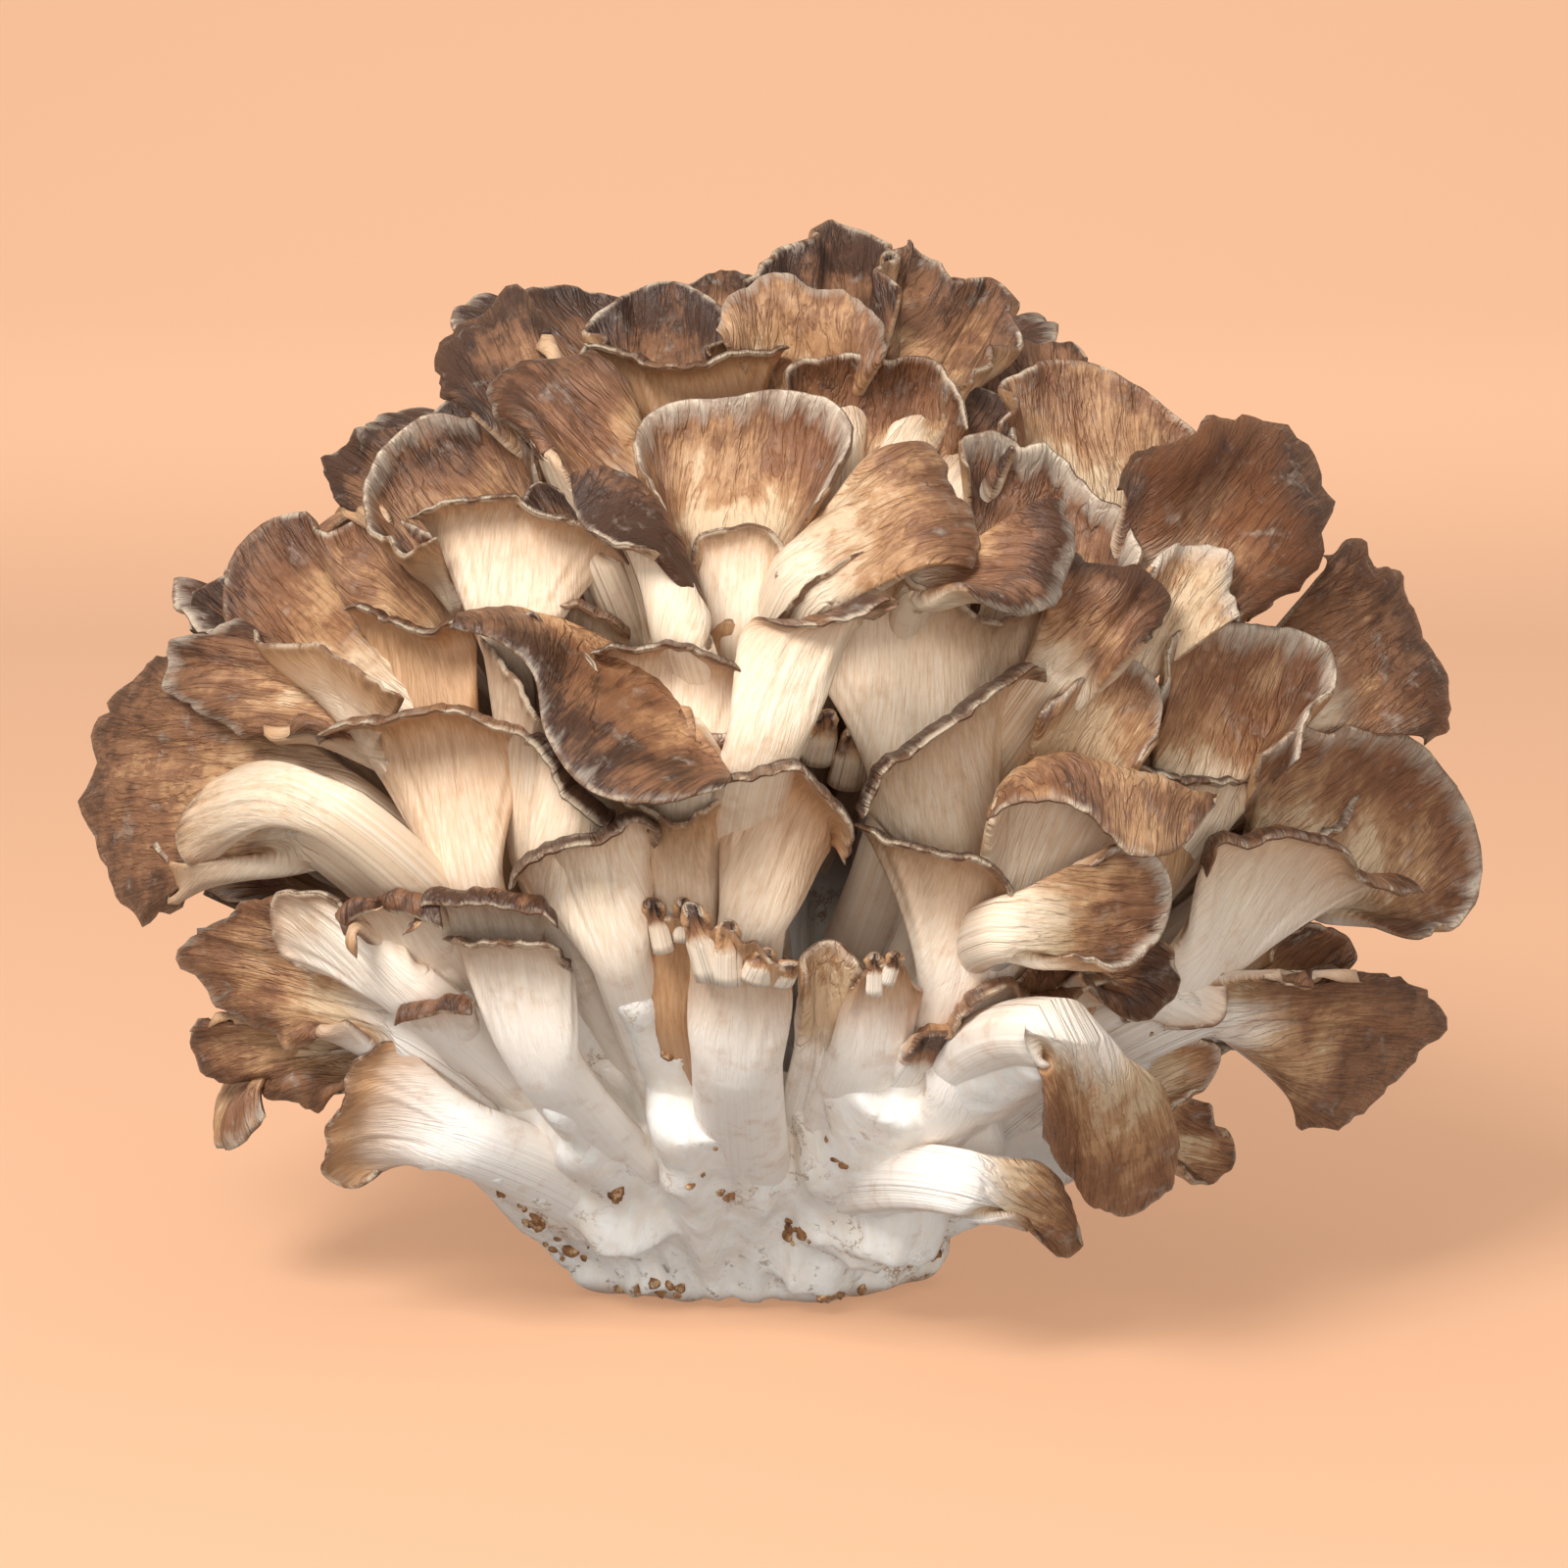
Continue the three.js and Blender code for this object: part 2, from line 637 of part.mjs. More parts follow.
// The fronds nearest to the outside keep their whole shape, so they are placed first
const rimReach = (frond) => Math.hypot(...frond.caps[0].rim.slice(0, 2));
allFronds.sort((a, b) => rimReach(b) - rimReach(a));
for (const frond of allFronds) {
  const shapes = frond.caps.map((cap) => capGeometry(frond.root, cap));
  const whole = union(shapes.map((shape) => toSolid(shape)));
  const clearance = union(shapes.map((shape) => toSolid(shape, neighbourGap)));
  place(frond.name, whole, clearance, frond.caps[0].face[1] > 0 ? capPale : capBrown);
}

export default cluster;
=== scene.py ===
import math

import bpy
import numpy as np
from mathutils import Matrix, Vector
from mathutils.bvhtree import BVHTree


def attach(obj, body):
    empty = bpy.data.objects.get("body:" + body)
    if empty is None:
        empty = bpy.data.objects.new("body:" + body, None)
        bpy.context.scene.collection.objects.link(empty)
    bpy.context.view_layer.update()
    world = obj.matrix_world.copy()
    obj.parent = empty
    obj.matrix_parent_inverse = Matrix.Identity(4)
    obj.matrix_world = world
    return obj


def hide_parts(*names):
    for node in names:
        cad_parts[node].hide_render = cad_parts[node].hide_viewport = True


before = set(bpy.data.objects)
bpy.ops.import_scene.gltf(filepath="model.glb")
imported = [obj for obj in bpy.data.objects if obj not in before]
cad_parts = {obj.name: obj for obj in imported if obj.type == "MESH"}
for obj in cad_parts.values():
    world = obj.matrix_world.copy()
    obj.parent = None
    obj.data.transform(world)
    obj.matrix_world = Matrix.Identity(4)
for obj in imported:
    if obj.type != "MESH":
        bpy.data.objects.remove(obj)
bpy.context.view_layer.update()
mm = 0.001


def deselectAll():
    if bpy.context.mode != "OBJECT":
        bpy.ops.object.mode_set(mode="OBJECT")
    bpy.ops.object.select_all(action="DESELECT")


def joinAll(pieces):
    deselectAll()
    for piece in pieces:
        piece.select_set(True)
    bpy.context.view_layer.objects.active = pieces[0]
    if len(pieces) > 1:
        bpy.ops.object.join()
    return pieces[0]


def compass(turn, squash=1.0):
    # outwards at an angle, along the ring there, and up
    out = np.array([math.cos(turn), math.sin(turn) * squash, 0])
    return out, np.array([-math.sin(turn), math.cos(turn), 0]), np.array([0, 0, 1.0])


def unit(v):
    v = np.asarray(v, float)
    return v / np.maximum(np.linalg.norm(v, axis=-1, keepdims=True), 1e-9)


def smoothStep(low, high, value):
    t = np.clip((value - low) / (high - low), 0, 1)
    return t * t * (3 - 2 * t)


def curveThrough(points, shares):
    # a smooth curve through points in space, read at shares of its length
    points = np.asarray(points, float)
    gaps = np.linalg.norm(np.diff(points, axis=0), axis=1)
    knots = np.concatenate([[0], np.cumsum(gaps)]) / gaps.sum()
    slopes = np.gradient(points, knots, axis=0)
    index = np.clip(np.searchsorted(knots, shares, side="right") - 1, 0, len(points) - 2)
    gap = (knots[index + 1] - knots[index])[:, None]
    t = (np.asarray(shares) - knots[index])[:, None] / gap
    start, end = points[index], points[index + 1]
    startSlope, endSlope = slopes[index] * gap, slopes[index + 1] * gap
    return (
        (2 * t**3 - 3 * t**2 + 1) * start
        + (t**3 - 2 * t**2 + t) * startSlope
        + (3 * t**2 - 2 * t**3) * end
        + (t**3 - t**2) * endSlope
    )


def bezier(a, b, c, d, t):
    # from a to d, leaving towards b and coming in from c
    return a * (1 - t) ** 3 + 3 * b * t * (1 - t) ** 2 + 3 * c * t**2 * (1 - t) + d * t**3


frondLook = {
    "grids": {"front": (56, 60), "back": (40, 40), "young": (10, 18)},
    "stemShare": 0.2,        # part of the rows that is stem
    "stemFoot": 1.1,         # a stem's width at its root, over its width at the neck
    "stemFlat": 0.8,         # a stem's thickness over its width
    "flesh": 2.0,            # thickness of the fan, mm
    "rimFlesh": 1.1,         # thickness just inside the rim, mm
    "scallop": 0.014,        # depth of the notches in the rim, as a share of the fan
    "ruffleStart": 0.5,      # where the waves begin: 0 at the neck, 1 at the rim
    "rimWave": 11.0,         # mm of rim for each slow wave
    "slowWave": 1.5,         # mm
    "quickWave": 0.42,       # mm
    "ribGap": 1.5,           # mm between the fine ribs of the skin
    "rib": 0.28,             # mm
}
capDefaults = {
    "root": None,            # where the stem leaves the heart of the cluster
    "stem": 10,
    "face": (0, -1, 0.3),    # the way the brown skin looks
    "fan": 0.9,              # 1 opens at once, 0 runs on as a stem first
    "bow": 0,                # mm of bulge towards the brown side
    "cone": 3,               # mm that the sides of the rim come round to the brown side
    "lip": 0,
    "wave": 0.8,
    "ridge": None,           # a line that the sheet turns over
    "tone": 0.5,             # how dark the brown is
    "warm": 0.15,            # how much of it is tawny
    "pale": 0.05,             # width of the light rim
    "under": 0.3,            # how far the underside darkens from the rim: the flesh's own tan and painted shade
}


def slabTemplate(columns, rows):
    # an even slab, two units wide and high: across is X, root to rim is Y, brown face is up
    deselectAll()
    bpy.ops.mesh.primitive_grid_add(x_subdivisions=columns, y_subdivisions=rows, size=2)
    slab = bpy.context.object
    bpy.ops.object.mode_set(mode="EDIT")
    bpy.ops.mesh.select_all(action="SELECT")
    bpy.ops.mesh.extrude_region_move(TRANSFORM_OT_translate={"value": (0, 0, -1)})
    bpy.ops.mesh.select_all(action="SELECT")
    bpy.ops.mesh.normals_make_consistent(inside=False)
    bpy.ops.object.mode_set(mode="OBJECT")
    bpy.ops.object.shade_smooth()
    return slab


def coordinates(mesh, kind="co"):
    flat = np.empty(len(mesh.vertices) * 3)
    mesh.vertices.foreach_get(kind, flat)
    return flat.reshape(-1, 3)


def ripple(x, y, seed):
    # smooth unevenness from a few crossing waves, about -1 to 1
    total = 0
    for k in range(4):
        a = seed * (1.7 + 0.61 * k) + 2.1 * k
        b = seed * (0.9 + 0.37 * k) + 4.3 * k
        total = total + np.sin((1 + 0.8 * k) * x + a + 0.6 * np.sin(y * (1.1 + 0.5 * k) + b))
    return total / 4


def frondSurface(cap, rows, columns, seed):
    # the middle sheet of a frond from its stem, neck and rim, with its thickness
    look = frondLook
    even = np.linspace(-1, 1, columns + 1)
    across = 0.45 * even + 0.55 * np.sin(even * math.pi / 2)     # closer together at both sides
    share = (across + 1) / 2
    face = unit(cap["face"])
    rim = curveThrough(cap["rim"], share) + face * cap["cone"] * (across[:, None] ** 2 - 0.35)
    neck = np.asarray(cap["neck"], float)
    middle = rim.mean(axis=0)
    root = cap["root"]
    if root is None:
        # a stem comes from the heart of the cluster, lower and nearer the middle than its neck
        rise = 0.36 + 0.24 * float(smoothStep(55, 110, neck[2]))
        root = neck * (0.42, 0.4, rise)
    root = np.asarray(root, float)
    run = unit(unit(neck - root) + 0.5 * unit(middle - neck))
    side = rim[-1] - rim[0]
    side = unit(side - run * np.dot(side, run))
    half = cap["stem"] / 2
    neckLine = neck + side * across[:, None] * half
    rootLine = root + side * across[:, None] * half * look["stemFoot"]
    stemRows = int(rows * look["stemShare"])
    grid = np.empty((rows + 1, columns + 1, 3))
    reach = np.zeros(rows + 1)
    stemRun = unit(neck - root)
    stemLength = np.linalg.norm(neck - root)
    leave = rootLine + stemRun * stemLength * 0.33
    arrive = neckLine - run * stemLength * 0.33
    for i in range(stemRows):
        grid[i] = bezier(rootLine, leave, arrive, neckLine, i / stemRows)
    reach[stemRows:] = 1 - (1 - np.linspace(0, 1, rows + 1 - stemRows)) ** 1.15
    notches = 0.6 * ripple(share * 7, share * 0, seed) + 0.25 * ripple(share * 22, share * 0, seed + 2)
    scallop = look["scallop"] * (1 + notches) * min(1.0, cap["wave"])
    toRim = rim - neckLine
    length = np.linalg.norm(toRim, axis=1, keepdims=True)
    lead = neckLine + run * length * 0.38 * (1 - cap["fan"]) + toRim * 0.36 * cap["fan"]
    lead = lead + run * length * 0.08 * cap["fan"]
    curl = rim - toRim * 0.3 + face * cap["bow"] * 2
    if cap["ridge"]:
        # up to the ridge and down again to the rim
        ridge = curveThrough(cap["ridge"], share)
        over = unit(toRim - face * (toRim @ face)[:, None] * 0.5)
        near = np.linalg.norm(ridge - neckLine, axis=1, keepdims=True)
        far = np.linalg.norm(rim - ridge, axis=1, keepdims=True)
        rise = (neckLine, neckLine + run * near * 0.35, ridge - over * near * 0.3, ridge)
        arrive = rim - unit(rim - ridge) * far * 0.3 + face * cap["bow"]
        fall = (ridge, ridge + over * far * 0.35, arrive, rim)
    for i in range(stemRows, rows + 1):
        v = (reach[i] * (1 - scallop * reach[i] ** 4))[:, None]
        if cap["ridge"]:
            first = bezier(*rise, np.minimum(v * 2, 1))
            second = bezier(*fall, np.maximum(v * 2 - 1, 0))
            grid[i] = np.where(v < 0.5, first, second)
        else:
            grid[i] = bezier(neckLine, lead, curl, rim, v)
            grid[i] += face * cap["lip"] * np.sin(math.pi * v**3)
    # the normal of the middle sheet, with the brown face out
    down = np.gradient(grid, axis=0)
    right = np.gradient(grid, axis=1)
    normal = unit(np.cross(right, down))
    if (normal[stemRows + 5:] @ face).mean() < 0:
        normal = -normal
    u = reach[:, None] * np.ones_like(across)[None]
    v = share[None] * np.ones_like(reach)[:, None]
    rimLength = np.linalg.norm(np.diff(rim, axis=0), axis=1).sum()
    waves = rimLength / look["rimWave"]
    edge = smoothStep(look["ruffleStart"], 1, u)
    slow = ripple(v * waves * 2.2, u * 2, seed) * edge * look["slowWave"]
    quick = ripple(v * waves * 6, u * 4, seed + 5) * edge**3 * look["quickWave"]
    rib = look["rib"] * ripple(v * rimLength / look["ribGap"], u * 3, seed + 9) * smoothStep(0.1, 0.5, u)
    wave = cap["wave"] * (slow + quick)
    grid = grid + normal * (wave + rib)[..., None]
    # thickness: a round stem that thins into a fan, with a rounded rim and sides
    power = 2 + 8 * smoothStep(0.0, 0.7, u)
    edgeRound = np.sqrt(np.maximum(0.02, 1 - (0.985 * np.abs(across)[None]) ** power))
    stemHalf = half * look["stemFlat"]
    body = stemHalf + (look["flesh"] / 2 - stemHalf) * smoothStep(-0.25, 0.62, u)
    body = body + (look["rimFlesh"] / 2 - look["flesh"] / 2) * smoothStep(0.6, 1, u)
    tip = np.sqrt(np.maximum(0.06, 1 - np.clip((u - 0.955) / 0.045, 0, 1) ** 2))
    # where a point is on the sheet laid flat, in mm, for the fibres of the skin
    width = cap["stem"] + (rimLength - cap["stem"]) * smoothStep(0, 1, u)
    grain = np.stack([(v - 0.5) * width, u * float(length.mean()), np.full_like(u, seed * 3.7)], axis=-1)
    thick = body * edgeRound * tip
    return {"grid": grid, "normal": normal, "thick": thick, "reach": u, "grain": grain, "root": root}


def markPoints(mesh, name, values, kind="FLOAT", field="value"):
    # a value at each point, which the materials read
    layer = mesh.attributes.new(name, kind, "POINT")
    layer.data.foreach_set(field, values.astype(np.float32).ravel())


def makeFrond(template, name, cap, seed):
    columns, rows = template["columns"], template["rows"]
    sheet = frondSurface(cap, rows, columns, seed)
    mesh = template["mesh"].copy()
    points = template["points"]
    j = np.rint((points[:, 0] + 1) / 2 * columns).astype(int)
    i = np.rint((points[:, 1] + 1) / 2 * rows).astype(int)
    top = points[:, 2] > -0.5
    sign = np.where(top, 1.0, -1.0)[:, None]
    place = (sheet["grid"][i, j] + sheet["normal"][i, j] * sheet["thick"][i, j][:, None] * sign) * mm
    mesh.vertices.foreach_set("co", place.ravel())
    values = {"skin": top, "reach": sheet["reach"][i, j], "tone": cap["tone"], "warm": cap["warm"],
              "pale": cap["pale"], "rimTanAndShade": cap["under"]}
    for key, value in values.items():
        markPoints(mesh, key, np.ones(len(i)) * value)
    markPoints(mesh, "grain", sheet["grain"][i, j], "FLOAT_VECTOR", "vector")
    markDeepShade(mesh, place / mm)
    piece = bpy.data.objects.new(name, mesh)
    bpy.context.scene.collection.objects.link(piece)
    mesh.update()
    return piece, sheet["root"]


def markDeepShade(mesh, place):
    # painted shade: deep inside the cluster, between the fronds and above the white stems, the colour is
    # darkened where shade falls
    away = np.sqrt(place[:, 0] ** 2 + (place[:, 1] * 1.08) ** 2 + ((place[:, 2] - 62) * 0.95) ** 2)
    markPoints(mesh, "deepShade", (1 - smoothStep(44, 68, away)) * smoothStep(50, 68, place[:, 2]))


def orientOutward(piece):
    # signed volume decides whether the faces point out
    mesh = piece.data
    mesh.calc_loop_triangles()
    corners = np.empty(len(mesh.loop_triangles) * 3, int)
    mesh.loop_triangles.foreach_get("vertices", corners)
    p = coordinates(mesh)[corners.reshape(-1, 3)]
    volume = np.einsum("ij,ij->i", p[:, 0], np.cross(p[:, 1], p[:, 2])).sum() / 6
    if volume < 0:
        mesh.flip_normals()


def linear(hexColour):
    # sRGB hex to the linear values that the nodes want
    value = [int(hexColour[i:i + 2], 16) / 255 for i in (1, 3, 5)]
    value = [c / 12.92 if c <= 0.04045 else ((c + 0.055) / 1.055) ** 2.4 for c in value]
    return (*value, 1)


def addNode(tree, inputs, kind, output=0, **settings):
    # one node: an input that is a socket is linked, a hex colour or a number is set
    node = tree.nodes.new(kind)
    for key, value in settings.items():
        setattr(node, key, value)
    for key, value in inputs.items():
        if isinstance(value, bpy.types.NodeSocket):
            tree.links.new(value, node.inputs[key])
        else:
            node.inputs[key].default_value = linear(value) if isinstance(value, str) else value
    return node.outputs[output]


# settings that calls of addNode share
blend = {"kind": "ShaderNodeMix", "output": 2, "data_type": "RGBA"}
shade = {**blend, "blend_type": "MULTIPLY"}
times = {"kind": "ShaderNodeMath", "operation": "MULTIPLY"}
clamped = {**times, "use_clamp": True}
plus = {"kind": "ShaderNodeMath", "operation": "ADD"}
minus = {"kind": "ShaderNodeMath", "operation": "SUBTRACT"}
absolute = {"kind": "ShaderNodeMath", "operation": "ABSOLUTE"}
scaled = {"kind": "ShaderNodeMath", "operation": "MULTIPLY_ADD"}
step = {"kind": "ShaderNodeMapRange", "interpolation_type": "SMOOTHSTEP"}
cloud = {"kind": "ShaderNodeTexNoise"}
stretched = {"kind": "ShaderNodeVectorMath", "operation": "MULTIPLY"}


def newMaterial(name, settings):
    material = bpy.data.materials.new(name)
    material.use_nodes = True
    tree = material.node_tree
    shader = tree.nodes["Principled BSDF"]
    for key, value in settings.items():
        shader.inputs[key].default_value = value
    return material, tree, shader


skinLook = {
    # brown skin from its palest to its darkest: where each colour is reached, and the colour
    "palest": "#e0c09a",
    "browns": [(0.0, 0.28, "#bf9167"), (0.26, 0.58, "#8c6143"), (0.55, 1.0, "#432c1f")],
    "tawny": "#8a5128",
    "frost": "#dac7b4",
    "paleRim": "#ead8c2",
    # cream underside and stem
    "cream": ("#e9caa6", "#f8e4cb"),
    "lowCream": "#fff5ea",
    "tan": ("#ba8a5f", "#d0a57b"),
    "darkRim": "#4f3424",
    "frayed": ("#7d5a42", "#e0c8ab"),
    # painted shade deep between the fronds
    "deepShade": "#7a5840",
    "relief": 0.001,
}


def frondMaterial():
    # dry, finely wrinkled cap skin over cream flesh: soft sheen, darker towards the rim, with painted shade
    # deep between the fronds
    look = skinLook
    material, tree, shader = newMaterial("maitake_frond_skin", {
        "Subsurface Weight": 0.1, "Subsurface Radius": (1.0, 0.6, 0.35), "Subsurface Scale": 0.002})
    read = {}
    for name in ("skin", "reach", "tone", "warm", "pale", "rimTanAndShade", "deepShade"):
        read[name] = addNode(tree, {}, "ShaderNodeAttribute", 2, attribute_name=name)
    grain = addNode(tree, {}, "ShaderNodeAttribute", 1, attribute_name="grain")
    place = addNode(tree, {}, "ShaderNodeTexCoord", 3)
    blotch = addNode(tree, {0: place, 2: 85, 3: 4.0, 4: 0.6}, **cloud)
    patch = addNode(tree, {0: place, 2: 210, 3: 5.0, 4: 0.65}, **cloud)
    along = addNode(tree, {0: grain, 1: (0.5, 0.16, 1.0)}, **stretched)
    streak = addNode(tree, {0: along, 2: 1.0, 3: 5.0, 4: 0.62, 8: 0.25}, **cloud)
    along = addNode(tree, {0: grain, 1: (0.42, 0.13, 1.7)}, **stretched)
    vein = addNode(tree, {0: along, 2: 1.0, 3: 3.0, 4: 0.55, 8: 0.5}, **cloud)
    vein = addNode(tree, {0: vein, 1: 0.5}, **minus)
    vein = addNode(tree, {0: vein}, **absolute)
    vein = addNode(tree, {0: vein, 1: 0.07, 2: 0.0}, **step)          # 1 on a wrinkle's line
    along = addNode(tree, {0: grain, 1: (2.4, 0.3, 1.0)}, **stretched)
    fine = addNode(tree, {0: along, 2: 1.0, 3: 4.0, 4: 0.65}, **cloud)
    # how deep the brown is
    depth = read["tone"]
    for source, gain, start in ((blotch, 1.5, -0.7), (read["reach"], 1.0, -0.68), (patch, 0.7, -0.35),
                                (streak, 0.55, -0.27), (fine, 0.4, -0.2), (vein, 0.1, 0.0)):
        spread = addNode(tree, {0: source, 1: gain, 2: start}, **scaled)
        depth = addNode(tree, {0: depth, 1: spread}, **plus)
    brown = look["palest"]
    for low, high, colour in look["browns"]:
        share = addNode(tree, {0: depth, 1: low, 2: high}, **step)
        brown = addNode(tree, {0: share, 6: brown, 7: colour}, **blend)
    share = addNode(tree, {0: blotch, 1: 0.42, 2: 0.6}, **step)
    share = addNode(tree, {0: share, 1: read["warm"]}, **clamped)
    share = addNode(tree, {0: share, 1: 0.6}, **times)
    brown = addNode(tree, {0: share, 6: brown, 7: look["tawny"]}, **blend)
    share = addNode(tree, {0: patch, 1: 0.56, 2: 0.76, 4: 0.4}, **step)
    brown = addNode(tree, {0: share, 6: brown, 7: look["frost"]}, **blend)
    # the light band inside the rim
    ring = addNode(tree, {0: streak, 1: 0.3, 2: -0.15}, **scaled)
    ring = addNode(tree, {0: ring, 1: read["reach"]}, **plus)
    start = addNode(tree, {0: read["pale"], 1: -0.35, 2: 0.99}, **scaled)
    share = addNode(tree, {0: ring, 1: start}, **minus)
    share = addNode(tree, {0: share, 1: 6.0}, **clamped)
    share = addNode(tree, {0: share, 1: 0.75}, **times)
    brown = addNode(tree, {0: share, 6: brown, 7: look["paleRim"]}, **blend)
    # cream flesh, whiter low down, with tan stains, and tan towards the rim of the underside that is partly
    # its own colour and partly painted shade
    share = addNode(tree, {0: fine, 1: 0.3, 2: 0.7}, **step)
    cream = addNode(tree, {0: share, 6: look["cream"][0], 7: look["cream"][1]}, **blend)
    tan = addNode(tree, {0: share, 6: look["tan"][0], 7: look["tan"][1]}, **blend)
    height = addNode(tree, {0: place}, "ShaderNodeSeparateXYZ", 2)
    share = addNode(tree, {0: height, 1: 0.075, 2: 0.035}, **step)
    cream = addNode(tree, {0: share, 6: cream, 7: look["lowCream"]}, **blend)
    stained = addNode(tree, {0: patch, 1: 0.5, 2: 0.74, 4: 0.4}, **step)
    cream = addNode(tree, {0: stained, 6: cream, 7: tan}, **blend)
    # painted shade together with the flesh's own tan: the underside turns tan towards the rim
    start = addNode(tree, {0: read["rimTanAndShade"], 1: -1.3, 2: 0.66}, **scaled)
    share = addNode(tree, {0: ring, 1: start}, **minus)
    share = addNode(tree, {0: share, 1: 1.5}, **clamped)
    under = addNode(tree, {0: share, 6: cream, 7: tan}, **blend)
    share = addNode(tree, {0: ring, 1: 0.9, 2: 1.02}, **step)
    share = addNode(tree, {0: share, 1: read["tone"]}, **times)
    under = addNode(tree, {0: share, 6: under, 7: look["darkRim"]}, **blend)
    share = addNode(tree, {0: ring, 1: -0.02, 2: 0.34}, **step)
    upper = addNode(tree, {0: share, 6: cream, 7: brown}, **blend)
    colour = addNode(tree, {0: read["skin"], 6: under, 7: upper}, **blend)
    # a thin rim line, brown with light frayed stretches
    share = addNode(tree, {0: patch, 1: 0.46, 2: 0.56}, **step)
    rim = addNode(tree, {0: share, 6: look["frayed"][0], 7: look["frayed"][1]}, **blend)
    share = addNode(tree, {0: read["reach"], 1: 0.97, 2: 1.0, 4: 0.65}, **step)
    colour = addNode(tree, {0: share, 6: colour, 7: rim}, **blend)
    # painted shade: darker deep inside the cluster, between the fronds
    share = addNode(tree, {0: read["deepShade"], 1: 0.85}, **times)
    colour = addNode(tree, {0: share, 6: colour, 7: look["deepShade"]}, **shade)
    tree.links.new(colour, shader.inputs["Base Color"])
    gloss = addNode(tree, {0: fine, 1: 0.3, 2: 0.7, 3: 0.34, 4: 0.55}, **step)
    tree.links.new(gloss, shader.inputs["Roughness"])
    # wrinkles on the skin, hardly any on the underside
    relief = addNode(tree, {0: vein, 1: -0.22, 2: 0.0}, **scaled)
    relief = addNode(tree, {0: relief, 1: streak}, **plus)
    spread = addNode(tree, {0: read["skin"], 1: 0.85, 2: 0.15}, **scaled)
    relief = addNode(tree, {0: relief, 1: spread}, **times)
    spread = addNode(tree, {0: fine, 1: 0.3}, **times)
    relief = addNode(tree, {0: relief, 1: spread}, **plus)
    bump = addNode(tree, {"Height": relief, "Strength": 0.9, "Distance": look["relief"]}, "ShaderNodeBump")
    tree.links.new(bump, shader.inputs["Normal"])
    return material


def crumbMaterial():
    # dried, broken skin and soil caught in the cracks: dull and dark
    look = {"dark": "#4a3222", "middle": "#94673f", "light": "#d8b58c", "relief": 0.0008}
    material, tree, shader = newMaterial("dried_brown_crumbs", {"Roughness": 0.8})
    place = addNode(tree, {}, "ShaderNodeTexCoord", 3)
    grit = addNode(tree, {0: place, 2: 700, 3: 4.0, 4: 0.6}, **cloud)
    colour = look["dark"]
    for low, high, lighter in ((0.3, 0.5, look["middle"]), (0.5, 0.7, look["light"])):
        share = addNode(tree, {0: grit, 1: low, 2: high}, **step)
        colour = addNode(tree, {0: share, 6: colour, 7: lighter}, **blend)
    tree.links.new(colour, shader.inputs["Base Color"])
    bump = addNode(tree, {"Height": grit, "Strength": 0.7, "Distance": look["relief"]}, "ShaderNodeBump")
    tree.links.new(bump, shader.inputs["Normal"])
    return material


fleshLook = {
    "white": ("#f7ecdf", "#fffaf2"),
    "stain": "#e8cda6",
    "crack": "#a56f3f",
    "soil": "#5c4432",
    # painted contact shadow along the floor
    "contactShade": "#8a6a4c",
    # painted shade where the foot runs in under the fronds
    "deepShade": "#5e4332",
    "relief": 0.0009,
}


